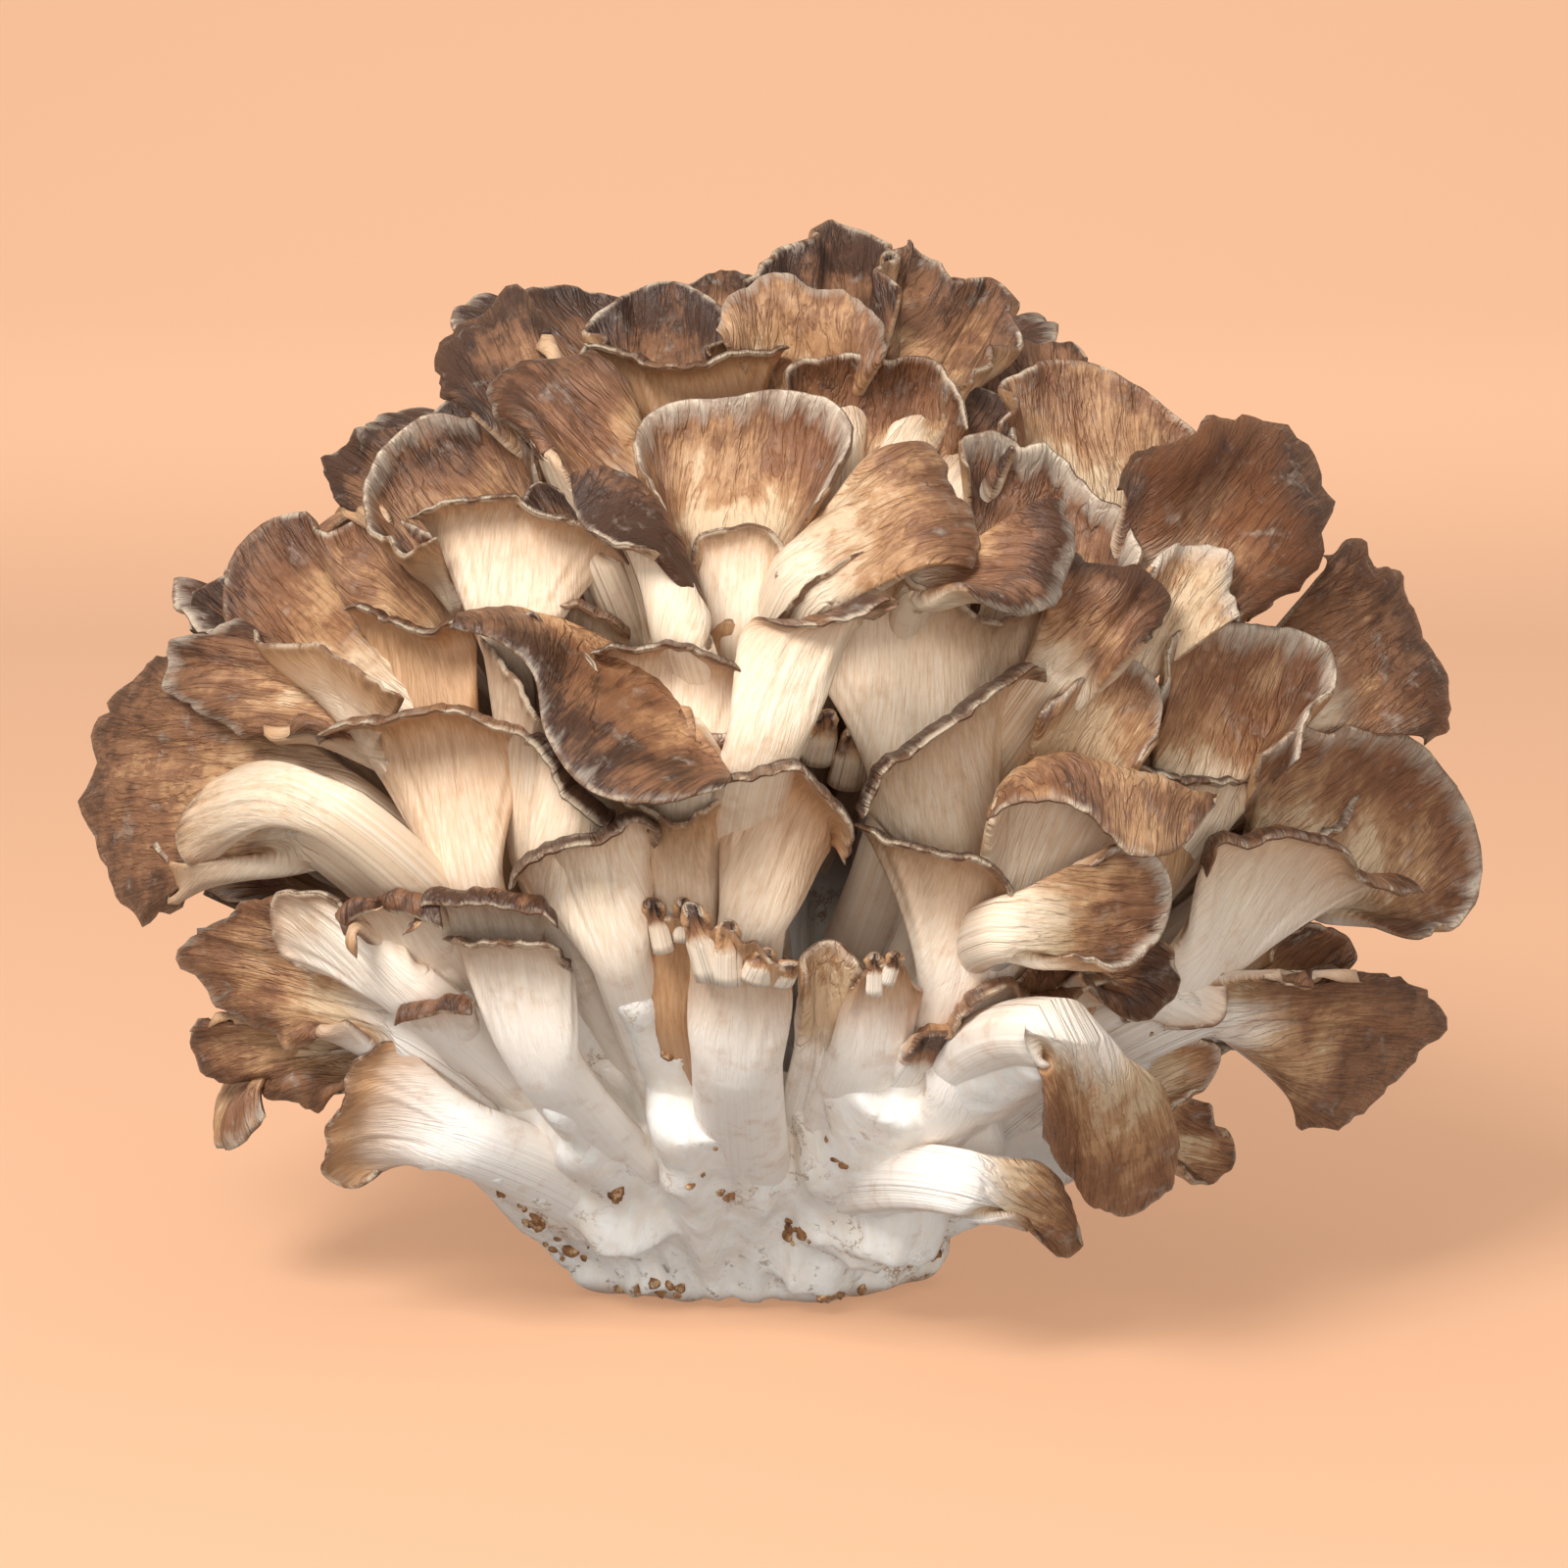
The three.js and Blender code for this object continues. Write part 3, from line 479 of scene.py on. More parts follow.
def fleshMaterial():
    # firm white flesh, torn along its fibres and moist, with tan stains and specks of soil low down;
    # painted shadow where it meets the floor and painted shade where it runs in under the fronds
    look = fleshLook
    material, tree, shader = newMaterial("maitake_stem_flesh", {
        "Roughness": 0.34, "Subsurface Weight": 0.15, "Subsurface Radius": (1.0, 0.6, 0.35),
        "Subsurface Scale": 0.003})
    place = addNode(tree, {}, "ShaderNodeTexCoord", 3)
    along = addNode(tree, {0: place, 1: (420.0, 420.0, 60.0)}, **stretched)
    fibre = addNode(tree, {0: along, 2: 1.0, 3: 5.0, 4: 0.6}, **cloud)
    blotch = addNode(tree, {0: place, 2: 55, 3: 5.0, 4: 0.6}, **cloud)
    vein = addNode(tree, {0: place, 2: 95, 3: 6.0, 4: 0.7}, **cloud)
    speck = addNode(tree, {0: place, 2: 420, 3: 3.0, 4: 0.6}, **cloud)
    height = addNode(tree, {0: place}, "ShaderNodeSeparateXYZ", 2)
    deepShade = addNode(tree, {}, "ShaderNodeAttribute", 2, attribute_name="deepShade")
    share = addNode(tree, {0: fibre, 1: 0.3, 2: 0.7}, **step)
    colour = addNode(tree, {0: share, 6: look["white"][0], 7: look["white"][1]}, **blend)
    share = addNode(tree, {0: blotch, 1: 0.53, 2: 0.76, 4: 0.4}, **step)
    colour = addNode(tree, {0: share, 6: colour, 7: look["stain"]}, **blend)
    crack = addNode(tree, {0: vein, 1: 0.5}, **minus)
    crack = addNode(tree, {0: crack}, **absolute)
    crack = addNode(tree, {0: crack, 1: 0.018, 2: 0.0}, **step)
    share = addNode(tree, {0: blotch, 1: 0.48, 2: 0.66, 4: 0.8}, **step)
    crack = addNode(tree, {0: crack, 1: share}, **times)
    colour = addNode(tree, {0: crack, 6: colour, 7: look["crack"]}, **blend)
    low = addNode(tree, {0: height, 1: 0.02, 2: 0.001, 4: 0.8}, **step)
    share = addNode(tree, {0: speck, 1: 0.58, 2: 0.7}, **step)
    share = addNode(tree, {0: share, 1: low}, **times)
    colour = addNode(tree, {0: share, 6: colour, 7: look["soil"]}, **blend)
    # painted contact shadow: darker in the last few mm above the floor
    share = addNode(tree, {0: height, 1: 0.0035, 2: 0.0, 4: 0.8}, **step)
    colour = addNode(tree, {0: share, 6: colour, 7: look["contactShade"]}, **blend)
    # painted shade on the top of the foot, where it runs in under the fronds
    share = addNode(tree, {0: deepShade, 1: 0.95}, **times)
    colour = addNode(tree, {0: share, 6: colour, 7: look["deepShade"]}, **shade)
    tree.links.new(colour, shader.inputs["Base Color"])
    relief = addNode(tree, {0: crack, 1: -0.6, 2: fibre}, **scaled)
    bump = addNode(tree, {"Height": relief, "Strength": 0.5, "Distance": look["relief"]}, "ShaderNodeBump")
    tree.links.new(bump, shader.inputs["Normal"])
    return material


# the fronds, in millimetres from the middle of the foot


def fan(neck, stem, rim, **more):
    # a frond that turns its brown upper skin to the front
    return {**capDefaults, "neck": neck, "stem": stem, "rim": rim, **more}


def horn(neck, stem, rim, **more):
    # a frond that shows its cream stem and underside, brown skin behind
    usual = {"face": (0, 1, 0.3), "fan": 0.25, "wave": 0.4, "bow": 4, "lip": 3, "cone": 6}
    return fan(neck, stem, rim, **{**usual, **more})


fronds = {
    "top_middle": [
        fan((10, -36, 124), 10, [(-1, -24, 145), (2, -16, 148), (6, -8, 150), (11, 3, 152), (16, 0, 151),
            (19, -10, 149), (19, -23, 144)], bow=-3, wave=1.5, tone=0.6, face=(0, -1, 0.5)),
        fan((7, -27, 124), 9, [(-5, -33, 139), (-3, -28, 144), (1, -25, 146), (8, -26, 145), (13, -28, 144),
            (17, -32, 141), (18, -36, 136)], bow=2, lip=2, wave=0.7, tone=0.25, pale=0.3),
    ],
    "top_right": [
        fan((20, -36, 122), 9, [(18, -12, 147), (21, -4, 149), (25, -6, 148), (28, -12, 145), (33, -6, 145),
            (37, -14, 142), (34, -25, 137),
            (29, -37, 132)], bow=-2, wave=1.6, tone=0.5, face=(0.1, -1, 0.5)),
    ],
    "top_left": [
        fan((-10, -32, 124), 9, [(-21, -28, 137), (-20, -18, 142), (-16, -15, 144), (-12, -15, 145),
            (-7, -19, 144), (-4, -25, 141), (-4, -35, 136)], bow=-2, wave=1.6, tone=0.75),
        fan((-4, -24, 131), 8, [(-10, -9, 143), (-5, -5, 145), (-1, -6, 145), (2, -11, 144)], tone=0.6),
    ],
    "top_left_curl": [
        fan((-24, -37, 122), 11, [(-39, -30, 128), (-44, -18, 133), (-43, -13, 136), (-38, -10, 140),
            (-34, -11, 142), (-30, -15, 141), (-28, -24, 137), (-27, -35, 130)],
            bow=2, lip=2, wave=1.1, cone=0, tone=0.8, face=(-0.2, -1, 0.5)),
    ],
    "top_cup": [
        horn((-7, -34, 118), 10, [(-23, -35, 136), (-19, -38, 137), (-13, -41, 136), (-7, -42, 136),
            (0, -40, 137), (5, -39, 136)], fan=0.7, under=0.75, tone=0.6),
    ],
    "top_fan": [
        fan((15, -36, 111), 10, [(4, -38, 131), (6, -37, 136), (10, -37, 137), (17, -36, 137),
            (25, -36, 135),
            (28, -39, 132), (29, -41, 127)], bow=-3, wave=0.9, tone=0.45, warm=0.5),
    ],
    "crown_spoon": [
        fan((-4, -53, 106), 11, [(-11, -59, 118), (-15, -54, 124), (-15, -49, 128), (-12, -46, 131),
            (-4, -46, 132), (4, -46, 133), (10, -47, 132), (13, -51, 129), (12, -56, 124), (8, -61, 119)],
            bow=-5, wave=0.3, lip=1, tone=0.42, warm=0.75, pale=0.4),
    ],
    "crown_tongue": [
        fan((-15, -46, 113), 15, [(-26, -46, 121), (-31, -43, 126), (-35, -36, 130), (-36, -30, 132),
            (-34, -29, 134), (-28, -32, 135), (-21, -35, 135), (-17, -34, 131)],
            bow=6, lip=1, wave=0.5, tone=0.6, face=(-0.1, -0.8, 0.7), warm=0.4, pale=0.25),
    ],
    "crown_right": [
        fan((42, -32, 109), 11, [(33, -41, 126), (34, -34, 131), (37, -27, 134), (41, -23, 135),
            (47, -20, 134),
            (53, -19, 131), (57, -20, 128), (60, -24, 124)], bow=-2, wave=1.4, tone=0.3, warm=0.5),
        fan((38, -22, 121), 10, [(30, -26, 130), (32, -18, 134), (35, -13, 136), (40, -10, 136),
            (45, -8, 135), (47, -11, 133)], wave=1.3, tone=0.5),
    ],
    "upper_ribbon": [
        fan((28, -40, 118), 9, [(26, -35, 131), (29, -33, 132), (33, -33, 131), (35, -36, 128),
            (35, -41, 124)],
            wave=0.4, tone=0.85),
        fan((7, -62, 109), 12, [(22, -54, 126), (24, -54, 126), (26, -57, 122), (29, -60, 118),
            (30, -63, 114),
            (30, -66, 111)], face=(-0.3, -0.9, 0.4), bow=4, lip=3, tone=0.3, warm=0.3),
    ],
    "left_trumpet": [
        fan((-32, -37, 104), 15, [(-28, -43, 118), (-31, -35, 125), (-38, -28, 128), (-46, -26, 127),
            (-51, -29, 123), (-53, -34, 118), (-52, -40, 114), (-48, -46, 112), (-42, -52, 113)],
            face=(0.1, -1, 0.4), bow=-4, tone=0.5, pale=0.3),
        horn((-31, -52, 98), 10, [(-46, -49, 114), (-43, -52, 117), (-38, -53, 119), (-33, -55, 120),
            (-28, -58, 119), (-23, -60, 117), (-19, -62, 114), (-16, -63, 110)], under=0.25),
    ],
    "upper_curl": [
        fan((-20, -52, 110), 6, [(-31, -53, 118), (-29, -51, 121), (-24, -52, 120),
            (-21, -55, 117)], tone=0.8),
        fan((-9, -66, 102), 10, [(-24, -59, 121), (-22, -66, 118), (-18, -70, 116), (-14, -71, 115),
            (-12, -69, 112)], face=(0.1, 0.7, 0.8), tone=0.8, under=0.15, wave=0.3, fan=0.3,
            ridge=[(-23, -58, 123), (-16, -60, 122), (-12, -62, 117), (-8, -65, 109), (-6, -66, 105)]),
        horn((-1, -57, 98), 8, [(-8, -61, 110), (-7, -58, 114), (-3, -57, 116), (1, -57, 117),
            (3, -58, 116),
            (4, -60, 113), (3, -63, 108)], bow=2, lip=1, under=0.1),
    ],
    "upper_shell": [
        fan((36, -46, 101), 12, [(28, -48, 123), (29, -45, 126), (33, -43, 127), (36, -43, 125),
            (39, -41, 126),
            (43, -41, 122), (47, -43, 118), (50, -43, 117), (51, -45, 113), (50, -49, 108)],
            bow=-4, wave=1, tone=0.5, pale=0.5, warm=0.3),
        fan((8, -53, 102), 9, [(3, -62, 110), (4, -60, 113), (8, -59, 114),
            (13, -59, 113)], tone=0.2, pale=0.5),
        fan((24, -47, 101), 10, [(20, -58, 110), (23, -55, 113), (27, -54, 113), (29, -55, 110)], tone=0.5),
    ],
    "right_dome": [
        fan((53, -42, 103), 14, [(48, -37, 118), (51, -34, 122), (57, -30, 124), (66, -18, 126),
            (72, -10, 125),
            (78, -8, 121), (79, -14, 116), (79, -22, 110), (76, -28, 105), (71, -34, 103), (66, -37, 100)],
            bow=6, lip=2, wave=0.9, tone=0.8, face=(0.2, -1, 0.4), warm=0.9),
    ],
    "right_far": [
        fan((72, -30, 88), 14, [(78, -18, 106), (84, -15, 108), (86, -14, 105), (92, -8, 101), (94, -8, 95),
            (97, -10, 87), (96, -14, 82), (93, -16, 79)], bow=4, lip=2, wave=0.9, tone=0.8,
            face=(0.35, -0.9, 0.4), warm=0.6),
    ],
    "right_fold": [
        fan((48, -52, 95), 9, [(52, -52, 108), (56, -46, 112), (61, -42, 112), (64, -42, 110),
            (64, -44, 106),
            (65, -46, 102)], bow=3, tone=0.0, pale=0.6),
        fan((40, -58, 95), 10, [(41, -58, 112), (44, -56, 112), (49, -55, 110), (54, -52, 108),
            (55, -53, 106),
            (52, -58, 101)], bow=3, lip=2, tone=0.6, warm=0.4),
        fan((40, -52, 77), 13, [(38, -64, 92), (42, -61, 96), (47, -58, 98), (51, -56, 98), (54, -55, 94),
            (54, -56, 89), (51, -59, 85)], bow=2, wave=0.4, tone=0.2, warm=0.3, pale=0.3),
    ],
    "left_funnel": [
        fan((-44, -28, 109), 9, [(-50, -30, 115), (-56, -25, 114), (-59, -18, 117), (-60, -13, 120),
            (-57, -13, 122), (-52, -16, 124),
            (-48, -18, 125)], bow=2, wave=1.2, tone=0.8, face=(-0.2, -1, 0.4)),
        fan((-46, -46, 87), 15, [(-38, -45, 103), (-39, -40, 109), (-45, -34, 113), (-53, -28, 114),
            (-57, -29, 112), (-62, -22, 114), (-68, -19, 112), (-72, -21, 108), (-73, -24, 102),
            (-70, -31, 99), (-65, -40, 98), (-58, -48, 99), (-52, -53, 96), (-47, -56, 92)],
            face=(0.25, -1, 0.45), bow=-4, tone=0.5, warm=0.5),
        fan((-65, -19, 93), 10, [(-79, -12, 95), (-79, -9, 100), (-75, -13, 103), (-71, -17, 104)],
            wave=1.1, tone=0.8),
    ],
    "left_shade": [
        horn((-41, -48, 81), 14, [(-55, -46, 102), (-53, -47, 103), (-48, -51, 103), (-42, -56, 102),
            (-37, -59, 102)], fan=0.7, bow=5, under=0.75),
        horn((-22, -48, 88), 10, [(-28, -56, 103), (-26, -56, 105), (-22, -58, 106), (-19, -60, 104),
            (-16, -62, 100)], fan=0.7, under=0.15, tone=0.4),
        fan((-24, -52, 86), 11, [(-31, -59, 103), (-29, -60, 105), (-25, -62, 102), (-21, -66, 99),
            (-20, -67, 96)], face=(0.2, -0.8, 0.6), bow=2, wave=0.3, tone=0.8),
    ],
    "left_lobed": [
        fan((-46, -42, 84), 14, [(-71, -25, 98), (-77, -24, 97), (-81, -20, 94), (-82, -21, 90),
            (-79, -27, 88),
            (-73, -33, 86), (-69, -36, 84), (-63, -41, 86), (-58, -44, 84)],
            face=(-0.1, -1, 0.5), bow=3, lip=2, wave=1, tone=0.5, pale=0.3),
    ],
    "left_outer": [
        fan((-56, -40, 73), 14, [(-77, -15, 92), (-85, -8, 90), (-91, -4, 85), (-94, 0, 80), (-95, -2, 72),
            (-95, -2, 65), (-93, -6, 60), (-89, -11, 56), (-85, -17, 55), (-81, -23, 58), (-78, -26, 64)],
            face=(-0.35, -1, 0.3), bow=5, lip=2, wave=1.2, tone=0.6),
    ],
    "left_arm": [
        horn((-54, -62, 78), 9, [(-76, -39, 64), (-78, -39, 69), (-78, -39, 74), (-75, -42, 78),
            (-70, -46, 79)],
            face=(0.1, 0.8, 0.5), root=(-28, -42, 44), bow=1, lip=1, under=0.1),
    ],
    "left_bell": [
        horn((-36, -58, 66), 8, [(-58, -56, 86), (-55, -59, 89), (-49, -62, 91), (-42, -64, 93),
            (-35, -68, 92), (-31, -71, 90), (-28, -72, 87)], bow=7, lip=4, under=0.4, tone=0.3),
    ],
    "middle_leaf": [
        fan((-14, -59, 94), 10, [(-40, -61, 102), (-34, -66, 102), (-28, -74, 99), (-26, -80, 92),
            (-21, -84, 86), (-14, -87, 84), (-4, -85, 85)], face=(0.3, -0.8, 0.6), root=(-14, -34, 60),
            ridge=[(-38, -58, 104), (-30, -58, 104), (-22, -61, 100), (-14, -66, 96), (-9, -70, 91),
            (-6, -74, 88), (-3, -78, 87)], bow=3, wave=0.3, tone=0.62, pale=0.1),
        horn((-29, -55, 71), 9, [(-36, -58, 100), (-31, -64, 98),
            (-26, -71, 89)], bow=3, lip=0, under=0.05),
    ],
    "middle_bell": [
        horn((0, -69, 65), 9, [(-4, -82, 84), (-1, -83, 86), (5, -83, 88), (10, -82, 85), (13, -82, 80),
            (12, -80, 73)], bow=7, lip=4, under=0.45, tone=0.5),
    ],
    "middle_small": [
        horn((-9, -62, 62), 9, [(-18, -73, 82), (-10, -75, 81), (-3, -76, 82)], bow=3, lip=0, under=0.35),
        horn((-26, -63, 66), 7, [(-31, -68, 86), (-29, -71, 90), (-26, -72, 88), (-24, -74, 84),
            (-21, -75, 79), (-20, -75, 76)], face=(0.3, 0.8, 0.5), lip=3, under=0.1, tone=0.8),
    ],
    "middle_cap": [
        horn((-8, -66, 81), 12, [(-21, -70, 99), (-18, -71, 101), (-14, -71, 102), (-10, -72, 103),
            (-6, -73, 102), (-2, -74, 100), (0, -76, 97), (0, -77, 92)], fan=0.5, under=0.2, tone=0.8),
        fan((-3, -62, 74), 9, [(-10, -72, 86), (-8, -72, 90), (-4, -72, 91), (0, -72, 90), (3, -73, 87)],
            wave=0.3, tone=0.0, pale=0.4),
        fan((-10, -60, 93), 6, [(-13, -62, 102), (-12, -61, 105), (-10, -62, 104), (-8, -64, 100)],
            wave=0.1, tone=0.7),
        horn((1, -75, 88), 10, [(4, -78, 104), (9, -77, 106), (14, -75, 108), (17, -74, 109),
            (19, -75, 108),
            (18, -76, 104)], face=(-0.4, 0.8, 0.4), bow=3, under=0.15),
    ],
    "middle_trumpet": [
        horn((22, -56, 78), 13, [(2, -70, 102), (6, -69, 108), (10, -67, 112), (15, -65, 114),
            (18, -65, 113),
            (22, -66, 110), (26, -66, 109), (29, -66, 106), (33, -65, 105), (38, -62, 107), (44, -59, 107),
            (47, -59, 103)], bow=6, lip=1.5, under=0.2),
        fan((23, -62, 109), 9, [(29, -74, 107), (35, -73, 106), (40, -68, 109), (42, -63, 114),
            (41, -59, 118)],
            face=(0, -0.7, 0.7), root=(22, -46, 96), bow=3, lip=1, tone=0.6, warm=0.3, pale=0.3),
    ],
    "right_fan": [
        fan((58, -44, 75), 14, [(54, -51, 91), (55, -54, 99), (58, -50, 102), (62, -46, 102),
            (68, -42, 101),
            (75, -36, 99), (79, -33, 96), (79, -35, 92), (75, -40, 88), (74, -41, 82)],
            bow=-2, wave=0.5, tone=0.4, warm=0.8, pale=0.4),
        horn((52, -46, 66), 11, [(47, -60, 82), (50, -58, 84), (54, -56, 83), (57, -54, 82), (61, -51, 81),
            (67, -47, 78)], fan=0.6, bow=3, wave=0.6, under=0.8, tone=0.85),
    ],
    "right_wing": [
        horn((26, -55, 68), 11, [(16, -80, 79), (17, -80, 86), (22, -78, 91), (28, -75, 95), (33, -72, 98),
            (38, -69, 98), (40, -65, 95)], face=(-0.3, 1, 0.3), bow=6, lip=3, under=0.2, tone=0.8),
    ],
    "right_lipped": [
        horn((33, -57, 61), 12, [(30, -75, 77), (35, -76, 82), (42, -77, 83), (47, -76, 79), (50, -74, 76),
            (55, -70, 75), (61, -62, 77)], face=(0.1, 0.8, 0.6), under=0.35, tone=0.2,
            ridge=[(31, -72, 79), (34, -70, 84), (40, -68, 86), (47, -66, 84), (53, -62, 82), (57, -60, 80),
            (61, -58, 79)]),
    ],
    "right_ear": [
        fan((71, -32, 62), 15, [(67, -44, 77), (68, -47, 83), (73, -42, 86), (79, -36, 86), (86, -28, 84),
            (92, -20, 82), (98, -12, 76), (102, -6, 70), (104, -3, 61), (103, -6, 56), (98, -14, 53),
            (93, -21, 55)], face=(0.25, -1, 0.35), bow=-3, wave=1, tone=0.35, warm=0.5, pale=0.3),
        fan((64, -22, 42), 10, [(71, -36, 53), (73, -35, 57), (78, -31, 58), (82, -27, 55), (84, -24, 51),
            (82, -25, 48)], tone=0.4),
    ],
    "right_bell": [
        horn((59, -46, 54), 12, [(60, -61, 67), (62, -60, 73), (65, -57, 73), (70, -53, 74), (76, -48, 73),
            (81, -42, 70), (83, -39, 66), (88, -34, 62), (93, -27, 58)], face=(0.1, 0.9, 0.5), under=0.15),
    ],
    "front_bell": [
        horn((27, -60, 51), 11, [(13, -79, 78), (16, -80, 78), (20, -79, 77), (23, -79, 76), (28, -77, 76),
            (32, -76, 74), (35, -74, 69), (37, -73, 66), (41, -71, 62), (45, -69, 59)],
            bow=6, lip=2.5, under=0.25, tone=0.85),
        fan((33, -76, 66), 9, [(42, -76, 62), (46, -74, 60), (51, -70, 61), (54, -67, 64), (55, -67, 70),
            (53, -68, 74), (49, -69, 76), (45, -70, 74)], face=(-0.2, -1, 0.4), root=(30, -50, 58),
            bow=-2, wave=0.5, tone=0.45, pale=0.4),
    ],
    "low_left_lobes": [
        fan((-46, -42, 46), 12, [(-62, -44, 62), (-70, -36, 61), (-76, -29, 56), (-80, -24, 52),
            (-78, -24, 47),
            (-73, -30, 45), (-68, -33, 43), (-62, -39, 42), (-56, -44, 45)],
            face=(-0.1, -1, 0.6), bow=4, lip=2, wave=1.2, tone=0.4, pale=0.2),
        fan((-47, -34, 38), 11, [(-73, -25, 42), (-79, -18, 40), (-80, -14, 37), (-78, -15, 33),
            (-73, -19, 32), (-68, -24, 32), (-62, -29, 31), (-56, -34, 34)],
            face=(-0.1, -1, 0.5), bow=3, lip=2, wave=1, tone=0.45),
        horn((-38, -45, 30), 11, [(-51, -51, 42), (-55, -47, 40), (-56, -44, 36), (-58, -40, 32),
            (-59, -37, 28), (-59, -34, 23), (-56, -35, 21), (-50, -41, 25)],
            face=(0.1, 0.9, 0.5), bow=2, lip=1, wave=0.6, under=0.35),
        fan((-40, -48, 46), 8, [(-48, -57, 47), (-46, -59, 50), (-41, -62, 52), (-37, -64, 50)],
            face=(0, -0.4, 1), bow=2, lip=1, tone=0.5),
    ],
    "low_left_pale": [
        horn((-46, -53, 53), 10, [(-60, -48, 52), (-64, -46, 56), (-65, -46, 61), (-64, -48, 66),
            (-61, -51, 67), (-57, -54, 66), (-54, -56, 63), (-52, -57, 60)], bow=1, lip=1, under=0.05),
        fan((-43, -50, 57), 10, [(-52, -62, 57), (-54, -59, 61), (-53, -60, 64), (-49, -64, 66),
            (-44, -66, 65),
            (-40, -68, 62)], face=(-0.2, -0.4, 1), bow=3, lip=2, wave=1.2, tone=0.55),
        fan((-60, -26, 54), 8, [(-77, -18, 59), (-76, -20, 61), (-69, -27, 61), (-63, -32, 59)], tone=0.95),
    ],
    "low_stump": [
        horn((-27, -58, 43), 11, [(-41, -67, 60), (-36, -70, 63), (-30, -72, 64), (-26, -74, 63),
            (-24, -73, 58)], bow=2, wave=0.6, under=0.05),
        fan((-33, -54, 61), 12, [(-46, -68, 63), (-44, -67, 66), (-38, -71, 68), (-33, -73, 68),
            (-28, -76, 67),
            (-25, -76, 65)], face=(-0.1, -0.3, 1), bow=2, lip=1, wave=1.4, tone=0.55, cone=1),
    ],
    "front_horn": [
        horn((-17, -66, 59), 8, [(-31, -73, 68), (-30, -74, 72), (-26, -75, 76), (-22, -77, 78),
            (-18, -78, 79), (-15, -79, 81), (-12, -79, 80), (-12, -75, 74)],
            face=(-0.2, 1, 0.4), bow=5, lip=3, under=0.1, tone=0.75),
    ],
    "front_stump": [
        horn((-2, -64, 45), 12, [(-8, -75, 60), (-7, -77, 64), (-4, -79, 67), (0, -79, 66), (4, -78, 63),
            (6, -76, 59)], bow=1, lip=0, under=0.3, wave=1.8),
        horn((-10, -60, 50), 7, [(-13, -70, 65), (-10, -71, 67),
            (-7, -70, 65)], bow=1, lip=0, under=1, cone=2),
        horn((15, -57, 44), 11, [(13, -68, 55), (15, -71, 60), (19, -71, 60), (22, -68, 56)], bow=1, lip=0,
             under=0.3, wave=1, cone=3),
        fan((22, -60, 45), 6, [(21, -66, 47), (23, -68, 51), (26, -67, 50),
            (27, -64, 47)], tone=0.95, cone=1),
        fan((9, -55, 45), 7, [(7, -67, 56), (8, -68, 62), (10, -68, 63), (14, -68, 60), (15, -66, 56)],
            wave=0.3, tone=0.0, pale=0.3),
    ],
    "low_curl": [
        horn((28, -56, 39), 12, [(23, -67, 45), (28, -71, 53), (30, -72, 57), (34, -70, 58), (38, -68, 55),
            (44, -65, 54), (49, -62, 52)], face=(0, 0.9, 0.6), bow=2, wave=1.1, under=0.05, tone=0.2),
        fan((40, -50, 46), 10, [(34, -64, 56), (38, -63, 59), (42, -61, 58), (47, -58, 55)], tone=0.4),
        fan((42, -54, 53), 8, [(44, -63, 55), (47, -60, 52), (52, -57, 50), (56, -55, 52), (57, -55, 55),
            (54, -58, 58)], face=(0, -0.7, 0.8), bow=2, lip=1, tone=0.6),
    ],
    "low_tongue": [
        fan((40, -76, 52), 14, [(38, -68, 42), (39, -66, 35), (42, -60, 29), (47, -54, 23), (52, -49, 21),
            (56, -50, 24), (57, -54, 30), (55, -57, 38)], face=(0.15, -1, 0.4), root=(24, -44, 36),
            bow=4, lip=1, wave=0.4, tone=0.3, warm=0.2, pale=0.1),
        fan((28, -60, 28), 9, [(37, -53, 19), (40, -48, 16), (43, -45, 14), (45, -46, 16), (44, -50, 20),
            (41, -52, 25)], face=(0.1, -0.7, 0.8), root=(12, -34, 22), bow=2, lip=1, wave=0.4, tone=0.25),
    ],
    "low_right_fan": [
        fan((59, -47, 49), 10, [(71, -40, 51), (80, -34, 50), (90, -23, 48), (94, -16, 45), (98, -9, 40),
            (97, -7, 35), (93, -11, 32), (88, -16, 29), (85, -18, 27), (80, -22, 26), (75, -26, 28)],
            face=(0.2, -1, 0.35), bow=4, lip=1.5, wave=0.9, tone=0.55, warm=0.2),
    ],
    "low_right_pale": [
        horn((50, -49, 51), 9, [(52, -54, 47), (58, -51, 48), (64, -48, 50), (64, -48, 53), (62, -51, 55)],
            face=(0, 0.8, 0.7), bow=0, lip=0, wave=0.5, under=0.1),
        fan((51, -37, 36), 9, [(54, -48, 45), (59, -46, 45), (64, -41, 42), (64, -40, 40), (62, -39, 36),
            (57, -40, 33)], tone=0.1, pale=0.3),
        fan((53, -32, 29), 8, [(59, -31, 22), (64, -25, 19), (67, -25, 21), (67, -28, 26), (64, -32, 29),
            (63, -36, 34)], tone=0.4),
    ],
}

